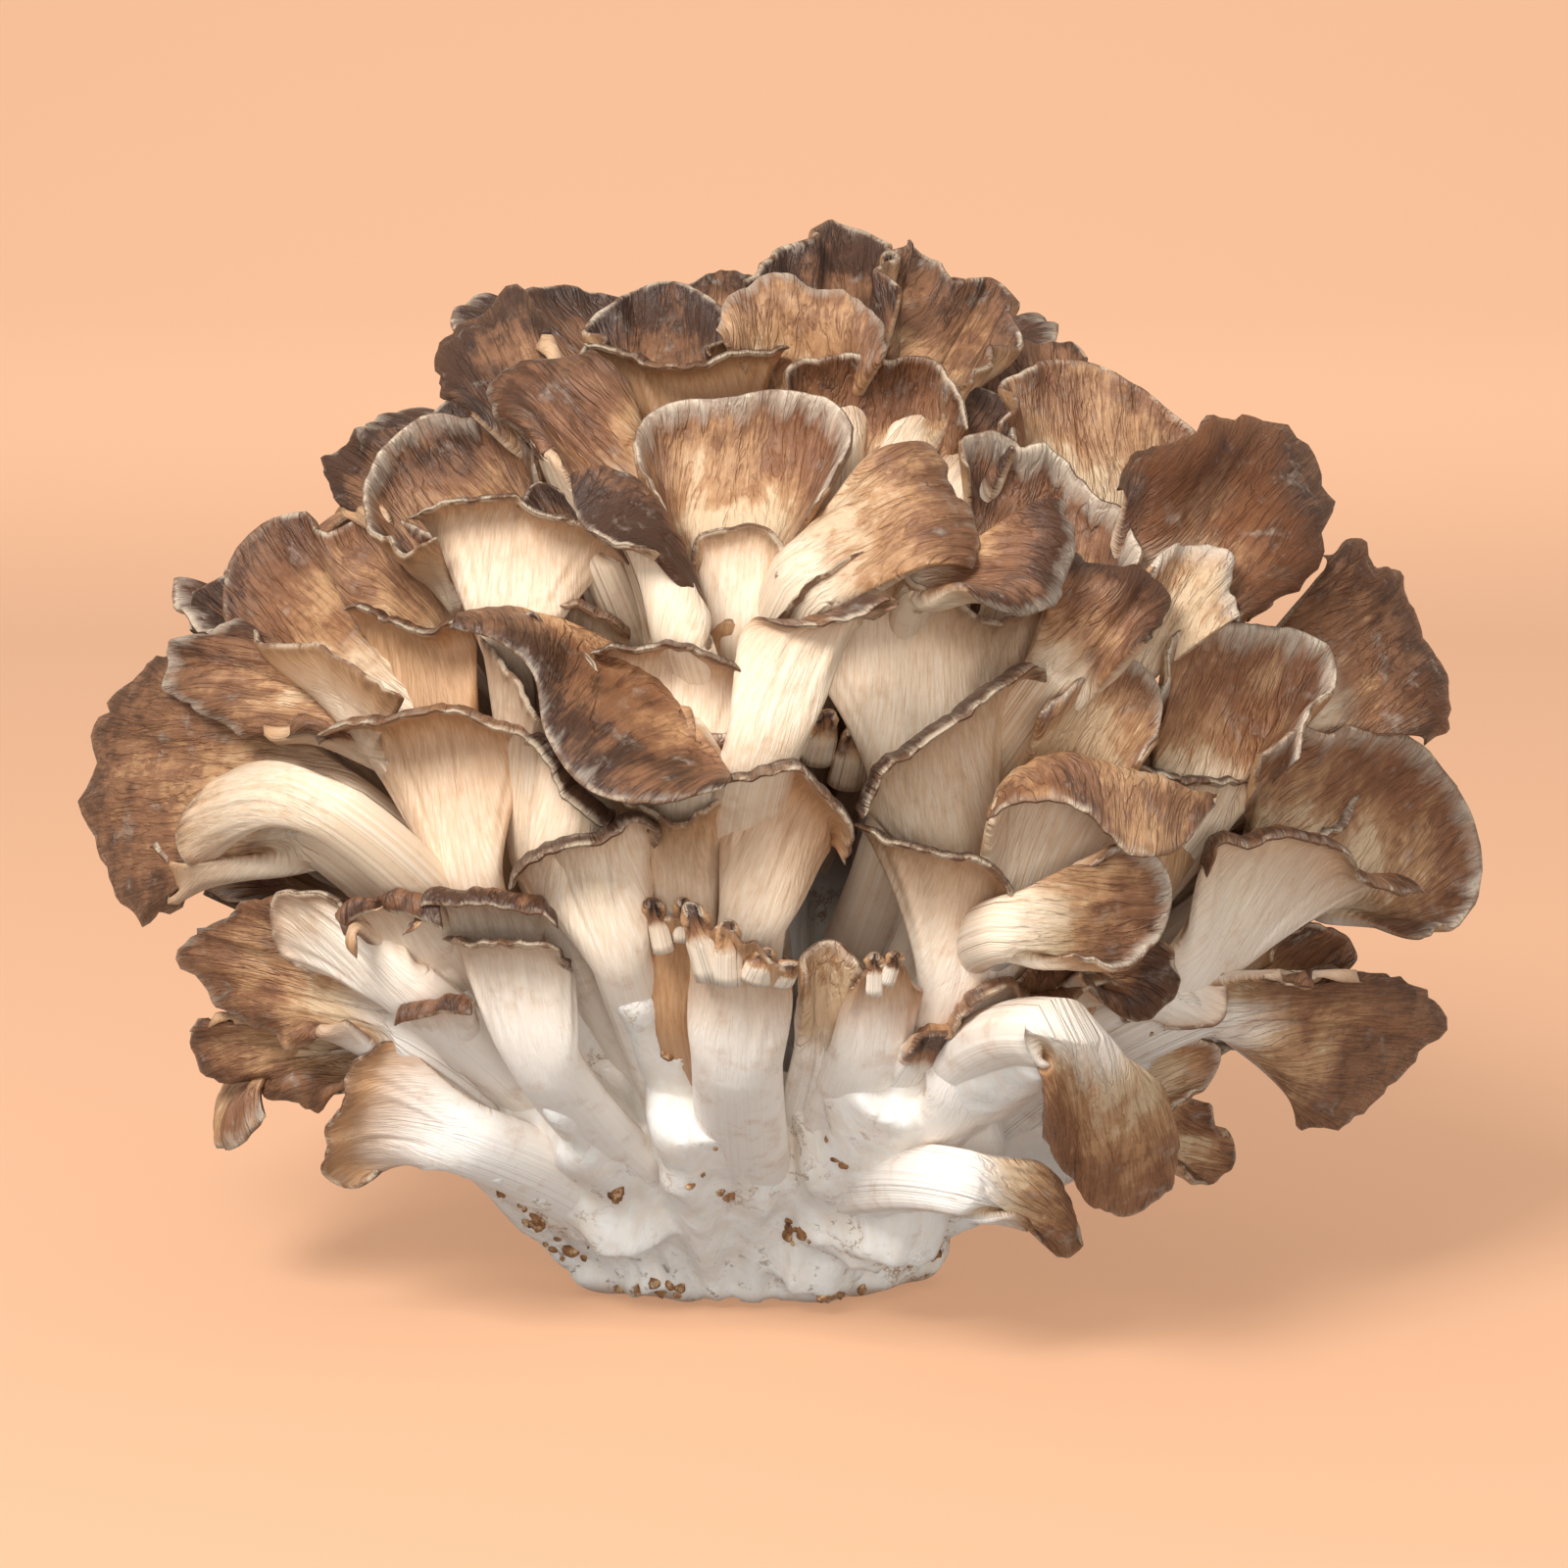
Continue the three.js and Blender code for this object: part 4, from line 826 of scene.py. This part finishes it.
# young fronds no longer than a fingernail: foot, lean (its length), width, tone
youngFronds = [
    ((-6, -77, 63), (-2, -2, 7), 4.0, 0.7),
    ((-3, -78, 62), (0, -2, 6), 3.5, 0.6),
    ((1, -78, 61), (1, -2, 3), 4.0, 0.5),
    ((4, -77, 60), (1, -2, 2), 3.5, 0.5),
    ((-12, -70, 64), (-1, -1, 5), 2.5, 0.9),
    ((-9, -70, 65), (0, -1, 4), 2.5, 0.9),
    ((16, -71, 58), (0, -1, 4), 2.0, 0.9),
    ((18, -71, 59), (1, -1, 3), 2.0, 0.9),
    ((9, -57, 87), (1, -4, 5), 4.0, 0.7),
    ((13, -55, 84), (1, -5, 6), 4.5, 0.8),
    ((17, -56, 88), (2, -4, 5), 4.0, 0.8),
    ((-8, -58, 98), (1, -2, 6), 3.2, 0.2),
    ((-4, -57, 98), (1, -2, 6), 3.4, 0.3),
    ((0, -56, 96), (2, -2, 5), 3.4, 0.3),
]



def youngCaps():
    # short pegs: blunt brown fans when dark, light horns when not
    caps = []
    for foot, lean, width, tone in youngFronds:
        foot, lean = np.array(foot, float), np.array(lean, float)
        side = np.array([width / 2, 0, 0])
        tip = foot + lean
        blunt = ((-0.5, 0.3), (-0.2, 0), (0.2, 0), (0.5, 0.3))
        rim = [tip + side * share - lean * drop for share, drop in blunt]
        shape = fan if tone >= 0.5 else horn
        caps.append(shape(
            tuple(foot + lean * 0.2), width * 1.05, rim, root=tuple(foot - lean * 0.5), bow=0, lip=0,
            wave=0.2, cone=0.8, fan=0.5, under=0.5 + tone * 0.6, tone=tone))
    return caps


# the base: a solid white foot that splits into stems

baseLook = {
    # egg-shaped lumps, in mm: middle, half sizes
    "core": [((-3, -1, 26), (27, 24, 27)), ((0, 6, 52), (27, 24, 34)), ((2, -3, 12), (22, 20, 14)),
             ((-20, -11, 4), (6, 6, 5)), ((-13, -17, 3), (6, 5, 4)), ((23, -6, 6), (5, 7, 6)),
             ((-28, -8, 15), (7, 7, 7))],
    # thick stems at the front: start, end, radius at each
    "limbs": [((4, -14, 12), (20, -54, 42), 11, 8), ((8, -12, 12), (30, -46, 33), 10, 7),
              ((-12, -14, 12), (-24, -44, 34), 9, 7), ((-4, -16, 10), (-6, -50, 38), 9, 8),
              ((-18, -10, 10), (-38, -34, 28), 9, 6)],
    "limbFoot": 8.5,                 # radius low in the foot
    "limbEnd": (0.9, 0.25),          # part of the way to the neck, for low front stems and for the others
    "thickness": (0.86, 0.8),        # share of the frond's stem, for the same two
    "voxel": 0.95,
    "smoothing": 7,
    "fibre": 0.7,                    # share of the fibrous relief
    "lump": 2.2,                     # mm of broad unevenness
}


def addLimb(start, end, startRadius, endRadius):
    start, end = Vector(start) * mm, Vector(end) * mm
    run = end - start
    bpy.ops.mesh.primitive_cone_add(
        vertices=24, radius1=startRadius * mm, radius2=endRadius * mm, depth=run.length,
        location=(start + end) / 2, rotation=run.to_track_quat("Z", "Y").to_euler())
    return bpy.context.object


def makeBase(necks):
    look = baseLook
    deselectAll()
    parts = []
    for centre, radii in look["core"]:
        bpy.ops.mesh.primitive_uv_sphere_add(
            segments=48, ring_count=24, radius=1, location=Vector(centre) * mm, scale=Vector(radii) * mm)
        parts.append(bpy.context.object)
    for root, neck, stem in necks:
        group = 0 if neck[2] < 70 and neck[1] < -30 else 1
        end = root + (neck - root) * look["limbEnd"][group]
        foot = np.array([root[0] * 0.62, root[1] * 0.62, min(root[2] * 0.4, 14)])
        thick = stem / 2 * look["thickness"][group]
        parts.append(addLimb(foot, root, look["limbFoot"], thick * 1.18))
        parts.append(addLimb(root, end, thick * 1.18, thick * 0.9))
    for limb in look["limbs"]:
        parts.append(addLimb(*limb))
    base = joinAll(parts)
    base.name = "white_base"
    bpy.ops.object.transform_apply(location=True, rotation=True, scale=True)
    bpy.ops.object.mode_set(mode="EDIT")
    bpy.ops.mesh.select_all(action="SELECT")
    bpy.ops.mesh.bisect(plane_co=(0, 0, 0), plane_no=(0, 0, 1), clear_inner=True, use_fill=True)
    bpy.ops.object.mode_set(mode="OBJECT")
    remesh = base.modifiers.new("merge", "REMESH")
    remesh.mode = "VOXEL"
    remesh.voxel_size = look["voxel"] * mm
    smooth = base.modifiers.new("blend", "SMOOTH")
    smooth.factor = 0.6
    smooth.iterations = look["smoothing"]
    bpy.ops.object.modifier_apply(modifier="merge")
    bpy.ops.object.modifier_apply(modifier="blend")
    # grooves that run up the foot, and broad lumps; none on the cut at the floor
    mesh = base.data
    place = coordinates(mesh) / mm
    x, y, z = place.T
    turn = np.arctan2(y, x)
    fibre = ripple(turn * 26, z * 0.05, 3) * 0.6 + ripple(turn * 9, z * 0.06, 7) * 2.2
    lump = ripple(x * 0.22, z * 0.25, 5) * ripple(y * 0.2, z * 0.18, 8)
    rough = (fibre * look["fibre"] + lump * look["lump"]) * smoothStep(0, 4, z)
    rough = rough * smoothStep(6, 16, np.hypot(x, y))
    place = place + coordinates(mesh, "normal") * rough[:, None]
    place[:, 2] = np.maximum(place[:, 2], 0)
    mesh.vertices.foreach_set("co", (place * mm).ravel())
    markDeepShade(mesh, place)
    joinAll([base])
    bpy.ops.object.shade_smooth()
    return base


crumbLook = {
    # where crumbs gather on the front of the base: x and z of the middle, spread, how many
    "heaps": [((-1, 44), (3, 2), 9), ((-3, 36), (1.2, 5), 8), ((6, 14), (2.5, 1.5), 9),
              ((-19, 22), (2, 1.5), 5), ((-31, 16), (2.5, 3), 12), ((-36, 27), (1.5, 4), 9),
              ((25, 6), (2, 2.5), 10), ((-25, 8), (3, 2), 8), ((-14, 3), (5, 1.5), 8),
              ((17, 47), (2, 2.5), 9), ((-10, 50), (1.5, 5), 9), ((12, 30), (3, 3), 3),
              ((14, 2), (6, 1), 5), ((0, 24), (8, 8), 6)],
    "size": (0.35, 0.95),            # radius, mm
}


def makeCrumbs(base):
    # crumbs thrown at the base from the front, which stick where they hit
    look = crumbLook
    deselectAll()
    bpy.ops.mesh.primitive_ico_sphere_add(subdivisions=2, radius=1)
    seedCrumb = bpy.context.object
    shape = coordinates(seedCrumb.data)
    tree = BVHTree.FromObject(base, bpy.context.evaluated_depsgraph_get())
    draw = np.random.default_rng(11)
    parts = []
    for (x, z), (spreadX, spreadZ), count in look["heaps"]:
        for number in range(count):
            atX = x + draw.normal() * spreadX * 0.6
            atZ = max(z + draw.normal() * spreadZ * 0.6, 0.8)
            radius = draw.uniform(*look["size"])
            squeeze = draw.uniform(0.6, 1.5, 3) * (1, 0.6, 1)
            seed = draw.uniform(0, 9)
            hit = tree.ray_cast(Vector((atX, -200, atZ)) * mm, Vector((0, 1, 0)))[0]
            if hit is None:
                continue
            mesh = seedCrumb.data.copy()
            swell = 1 + 0.3 * ripple(shape[:, 0] * 3, shape[:, 1] * 3 + shape[:, 2] * 2, seed)
            place = shape * swell[:, None] * squeeze * radius + np.array(hit) / mm
            place[:, 2] = np.maximum(place[:, 2], 0)
            mesh.vertices.foreach_set("co", (place * mm).ravel())
            crumb = bpy.data.objects.new("crumb", mesh)
            bpy.context.scene.collection.objects.link(crumb)
            parts.append(crumb)
    bpy.data.objects.remove(seedCrumb)
    crumbs = joinAll(parts)
    bpy.ops.object.shade_smooth()
    crumbs.name = "brown_crumbs"
    return crumbs


# the back of the cluster: five rows of forks round it, two fronds to a fork
# height and reach of the rims in mm, the first and last bearing in degrees; a frond droops where its
# sway, -1 to 1, is below "droop"
backRows = [
    {"height": 34, "reach": 78, "forks": 4, "from": -8, "to": 190, "width": 33, "droop": -0.1},
    {"height": 60, "reach": 88, "forks": 4, "from": -14, "to": 192, "width": 38, "droop": -0.4},
    {"height": 87, "reach": 82, "forks": 4, "from": -4, "to": 182, "width": 38, "droop": 0.1},
    {"height": 109, "reach": 66, "forks": 3, "from": 2, "to": 176, "width": 36, "droop": -0.3},
    {"height": 126, "reach": 44, "forks": 2, "from": 20, "to": 160, "width": 32, "droop": -1.1},
]


# caps on top, inside the last row: x, y and z of the rim's middle, the way it leans, width
topCaps = [
    (18, 18, 138, 40, 30),
    (-18, 18, 138, 140, 30),
    (0, 24, 139, 90, 30),
    (26, 0, 135, 0, 28),
    (-27, 0, 133, 180, 28),
    (8, 6, 142, 60, 24),
    (-9, 5, 141, 130, 24),
    (14, -10, 140, -20, 24),
    (-14, -10, 137, 200, 24),
]


def arcRim(centre, along, out, up, width, droop):
    # seven points round the edge of a fan
    points = []
    for turn in (-88, -58, -29, 0, 29, 58, 88):
        aside, inside = math.sin(math.radians(turn)), 1 - math.cos(math.radians(turn))
        point = centre + along * width * 0.52 * aside - out * width * 0.42 * inside
        points.append(point + up * droop * inside)
    return points


def fillerCap(row, bearing, k):
    # shorter fronds that close the gaps between the forks
    out, along, up = compass(bearing, 0.9)
    sway = math.sin(k * 2.1)
    width = row["width"] * (0.8 + 0.12 * sway)
    centre = out * row["reach"] * (0.86 + 0.05 * sway) + up * (row["height"] + 13 + 4 * sway)
    neck = out * row["reach"] * 0.55 + up * (row["height"] - 2)
    rim = arcRim(centre, along, unit(out * 0.5 + up * 0.85), up, width, 1.0)
    return fan(neck, 10, rim, face=up * 0.5 - out * 0.85, root=out * 22 + up * (12 + row["height"] * 0.5),
               bow=-2 + sway, wave=1.3, fan=0.8, tone=0.55 + 0.3 * sway, warm=0.35, under=0.45, cone=4)


def backCaps():
    caps = {}
    for rowNumber, row in enumerate(backRows):
        turn = row["to"] - row["from"]
        for fork in range(row["forks"]):
            parts = []
            for branch in range(2):
                k = fork * 2 + branch
                bearing = math.radians(row["from"] + turn * k / (row["forks"] * 2 - 1))
                sway = math.sin(k * 2.4 + rowNumber * 1.7)
                rises = 1 if sway > row["droop"] else -1
                out, along, up = compass(bearing, 0.9)
                width = row["width"] * (1 + 0.14 * sway)
                centre = out * row["reach"] + up * (row["height"] + 8 * rises + 5 * sway)
                neck = out * row["reach"] * 0.62 + up * (row["height"] - 7 * rises + 2 * sway)
                rim = arcRim(centre, along, unit(out * 0.75 + up * 0.65 * rises), up, width, 2.0 * rises)
                parts.append(fan(
                    neck, 12, rim, face=up * 0.6 - out * 0.8 * rises,
                    root=out * 24 + up * (14 + row["height"] * 0.5), bow=3 - 2 * sway, lip=1.5,
                    wave=1.5, fan=0.7, tone=0.5 + 0.3 * sway, warm=0.3 + 0.3 * math.sin(k * 1.3), pale=0.2))
            middle = math.radians(row["from"] + turn * (fork + 0.5) / row["forks"])
            for filler in range(2):
                k = rowNumber * 3.1 + fork * 1.9 + filler
                parts.append(fillerCap(row, middle + (filler - 0.5) * 0.5, k))
            caps["back_" + str(rowNumber + 1) + "_" + str(fork + 1)] = parts
    # the top is closed behind the front fronds
    for k, (x, y, z, bearing, width) in enumerate(topCaps):
        out, along, up = compass(math.radians(bearing))
        centre = np.array([x, y, z], float)
        neck = centre * (0.6, 0.6, 1) - up * 20
        rim = arcRim(centre, along, unit(out * 0.35 + up), up, width, 1.0)
        caps["back_5_" + str(1 + k % 2)].append(fan(
            neck, 10, rim, face=up * 0.6 - out, root=neck * (0.5, 0.5, 0.7), bow=-1, wave=1.4, fan=0.8,
            tone=0.45 + 0.1 * (k % 4), warm=0.3, under=0.5))
    return caps



def makeStage():
    # a paper sweep: a floor in m that curves up behind
    floor = {"size": 6.0, "height": 3.0, "curve": 1.5, "colour": "#f9c199", "glow": 0.4}
    deselectAll()
    bpy.ops.mesh.primitive_plane_add(size=floor["size"])
    plane = bpy.context.object
    plane.name = "paper_floor"
    bpy.ops.object.mode_set(mode="EDIT")
    bpy.ops.mesh.select_all(action="DESELECT")
    bpy.ops.object.mode_set(mode="OBJECT")
    for edge in plane.data.edges:
        a, b = (plane.data.vertices[i].co for i in edge.vertices)
        edge.select = a.y > 1 and b.y > 1
    bpy.ops.object.mode_set(mode="EDIT")
    bpy.ops.mesh.select_mode(type="EDGE")
    bpy.ops.mesh.extrude_region_move(TRANSFORM_OT_translate={"value": (0, 0, floor["height"])})
    bpy.ops.object.mode_set(mode="OBJECT")
    bevel = plane.modifiers.new("sweep", "BEVEL")
    bevel.width = floor["curve"]
    bevel.segments = 24
    bevel.limit_method = "ANGLE"
    bpy.ops.object.modifier_apply(modifier="sweep")
    bpy.ops.object.shade_smooth()
    # matt, evenly lit paper, with faint shadows; its colour isn't thrown back onto the white flesh
    colour = linear(floor["colour"])
    material = newMaterial("peach_paper", {
        "Base Color": (*(c * (1 - floor["glow"]) for c in colour[:3]), 1), "Roughness": 0.9,
        "Specular IOR Level": 0.1, "Emission Color": colour, "Emission Strength": floor["glow"]})[0]
    plane.data.materials.append(material)
    plane.visible_diffuse = False


def makeCamera():
    # in mm and degrees; "width" is what fills the view at the target
    view = {"target": (4.2, 0, 71.5), "elevation": 10.0, "distance": 800.0, "width": 223.8}
    tilt = math.radians(view["elevation"])
    data = bpy.data.cameras.new("camera")
    data.sensor_width = 36
    data.lens = 36 * view["distance"] / view["width"]
    camera = bpy.data.objects.new("camera", data)
    bpy.context.scene.collection.objects.link(camera)
    back = Vector((0, -math.cos(tilt), math.sin(tilt)))
    camera.location = (Vector(view["target"]) + back * view["distance"]) * mm
    camera.rotation_euler = (math.radians(90) - tilt, 0, 0)
    bpy.context.scene.camera = camera


def makeLight(name, place, size, energy, aim=(0, 0, 0.07), colour="#ffffff"):
    data = bpy.data.lights.new(name, "AREA")
    data.size = size
    data.energy = energy
    data.color = linear(colour)[:3]
    light = bpy.data.objects.new(name, data)
    bpy.context.scene.collection.objects.link(light)
    light.location = place
    light.rotation_euler = (Vector(aim) - Vector(place)).to_track_quat("-Z", "Y").to_euler()


def makeStudio():
    # a white room, dimmer below the horizon, with a key light, a low fill and a light on the backdrop
    room = {"low": 0.26, "high": 0.52}
    world = bpy.data.worlds.new("studio")
    bpy.context.scene.world = world
    world.use_nodes = True
    tree = world.node_tree
    along = addNode(tree, {}, "ShaderNodeTexCoord")
    height = addNode(tree, {0: along}, "ShaderNodeSeparateXYZ", 2)
    strength = addNode(tree, {0: height, 1: -0.3, 2: 0.2, 3: room["low"], 4: room["high"]}, **step)
    tree.nodes["Background"].inputs[0].default_value = linear("#ffffff")
    tree.links.new(strength, tree.nodes["Background"].inputs[1])
    makeLight("key", (-0.45, -0.8, 0.9), 0.45, 15)
    makeLight("front_fill", (0.15, -1.3, 0.06), 0.7, 8.5)
    makeLight("backdrop", (0, 1.0, 1.2), 1.5, 14, aim=(0, 3.2, 0.5))
    bpy.context.scene.view_settings.view_transform = "Standard"


skinMaterial = frondMaterial()
fleshSkin = fleshMaterial()
templates = {}
for name, (columns, rows) in frondLook["grids"].items():
    slab = slabTemplate(columns, rows)
    points = coordinates(slab.data)
    templates[name] = {"mesh": slab.data, "points": points, "columns": columns, "rows": rows}
    bpy.data.objects.remove(slab)
groups = [("front", fronds), ("back", backCaps()), ("young", {"young": youngCaps()})]
necks = []               # where the base has to send a stem
number = 0
for kind, table in groups:
    for node, caps in table.items():
        pieces = []
        for cap in caps:
            number += 1
            piece, root = makeFrond(templates[kind], node + "_cap", cap, number * 1.37)
            orientOutward(piece)
            piece.data.materials.append(skinMaterial)
            pieces.append(piece)
            if kind != "young":
                necks.append((root, np.asarray(cap["neck"], float), cap["stem"]))
        frond = joinAll(pieces)
        frond.name = node + "_frond"
        if kind != "young":
            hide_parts(node)
        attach(frond, "root")
print("fronds made:", number)
base = makeBase(necks)
base.data.materials.append(fleshSkin)
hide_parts("base")
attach(base, "root")
print("base made:", len(base.data.polygons), "faces")
crumbs = makeCrumbs(base)
crumbs.data.materials.append(crumbMaterial())
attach(crumbs, "root")
print("crumbs made:", len(crumbs.data.polygons), "faces")
makeStage()
makeCamera()
makeStudio()
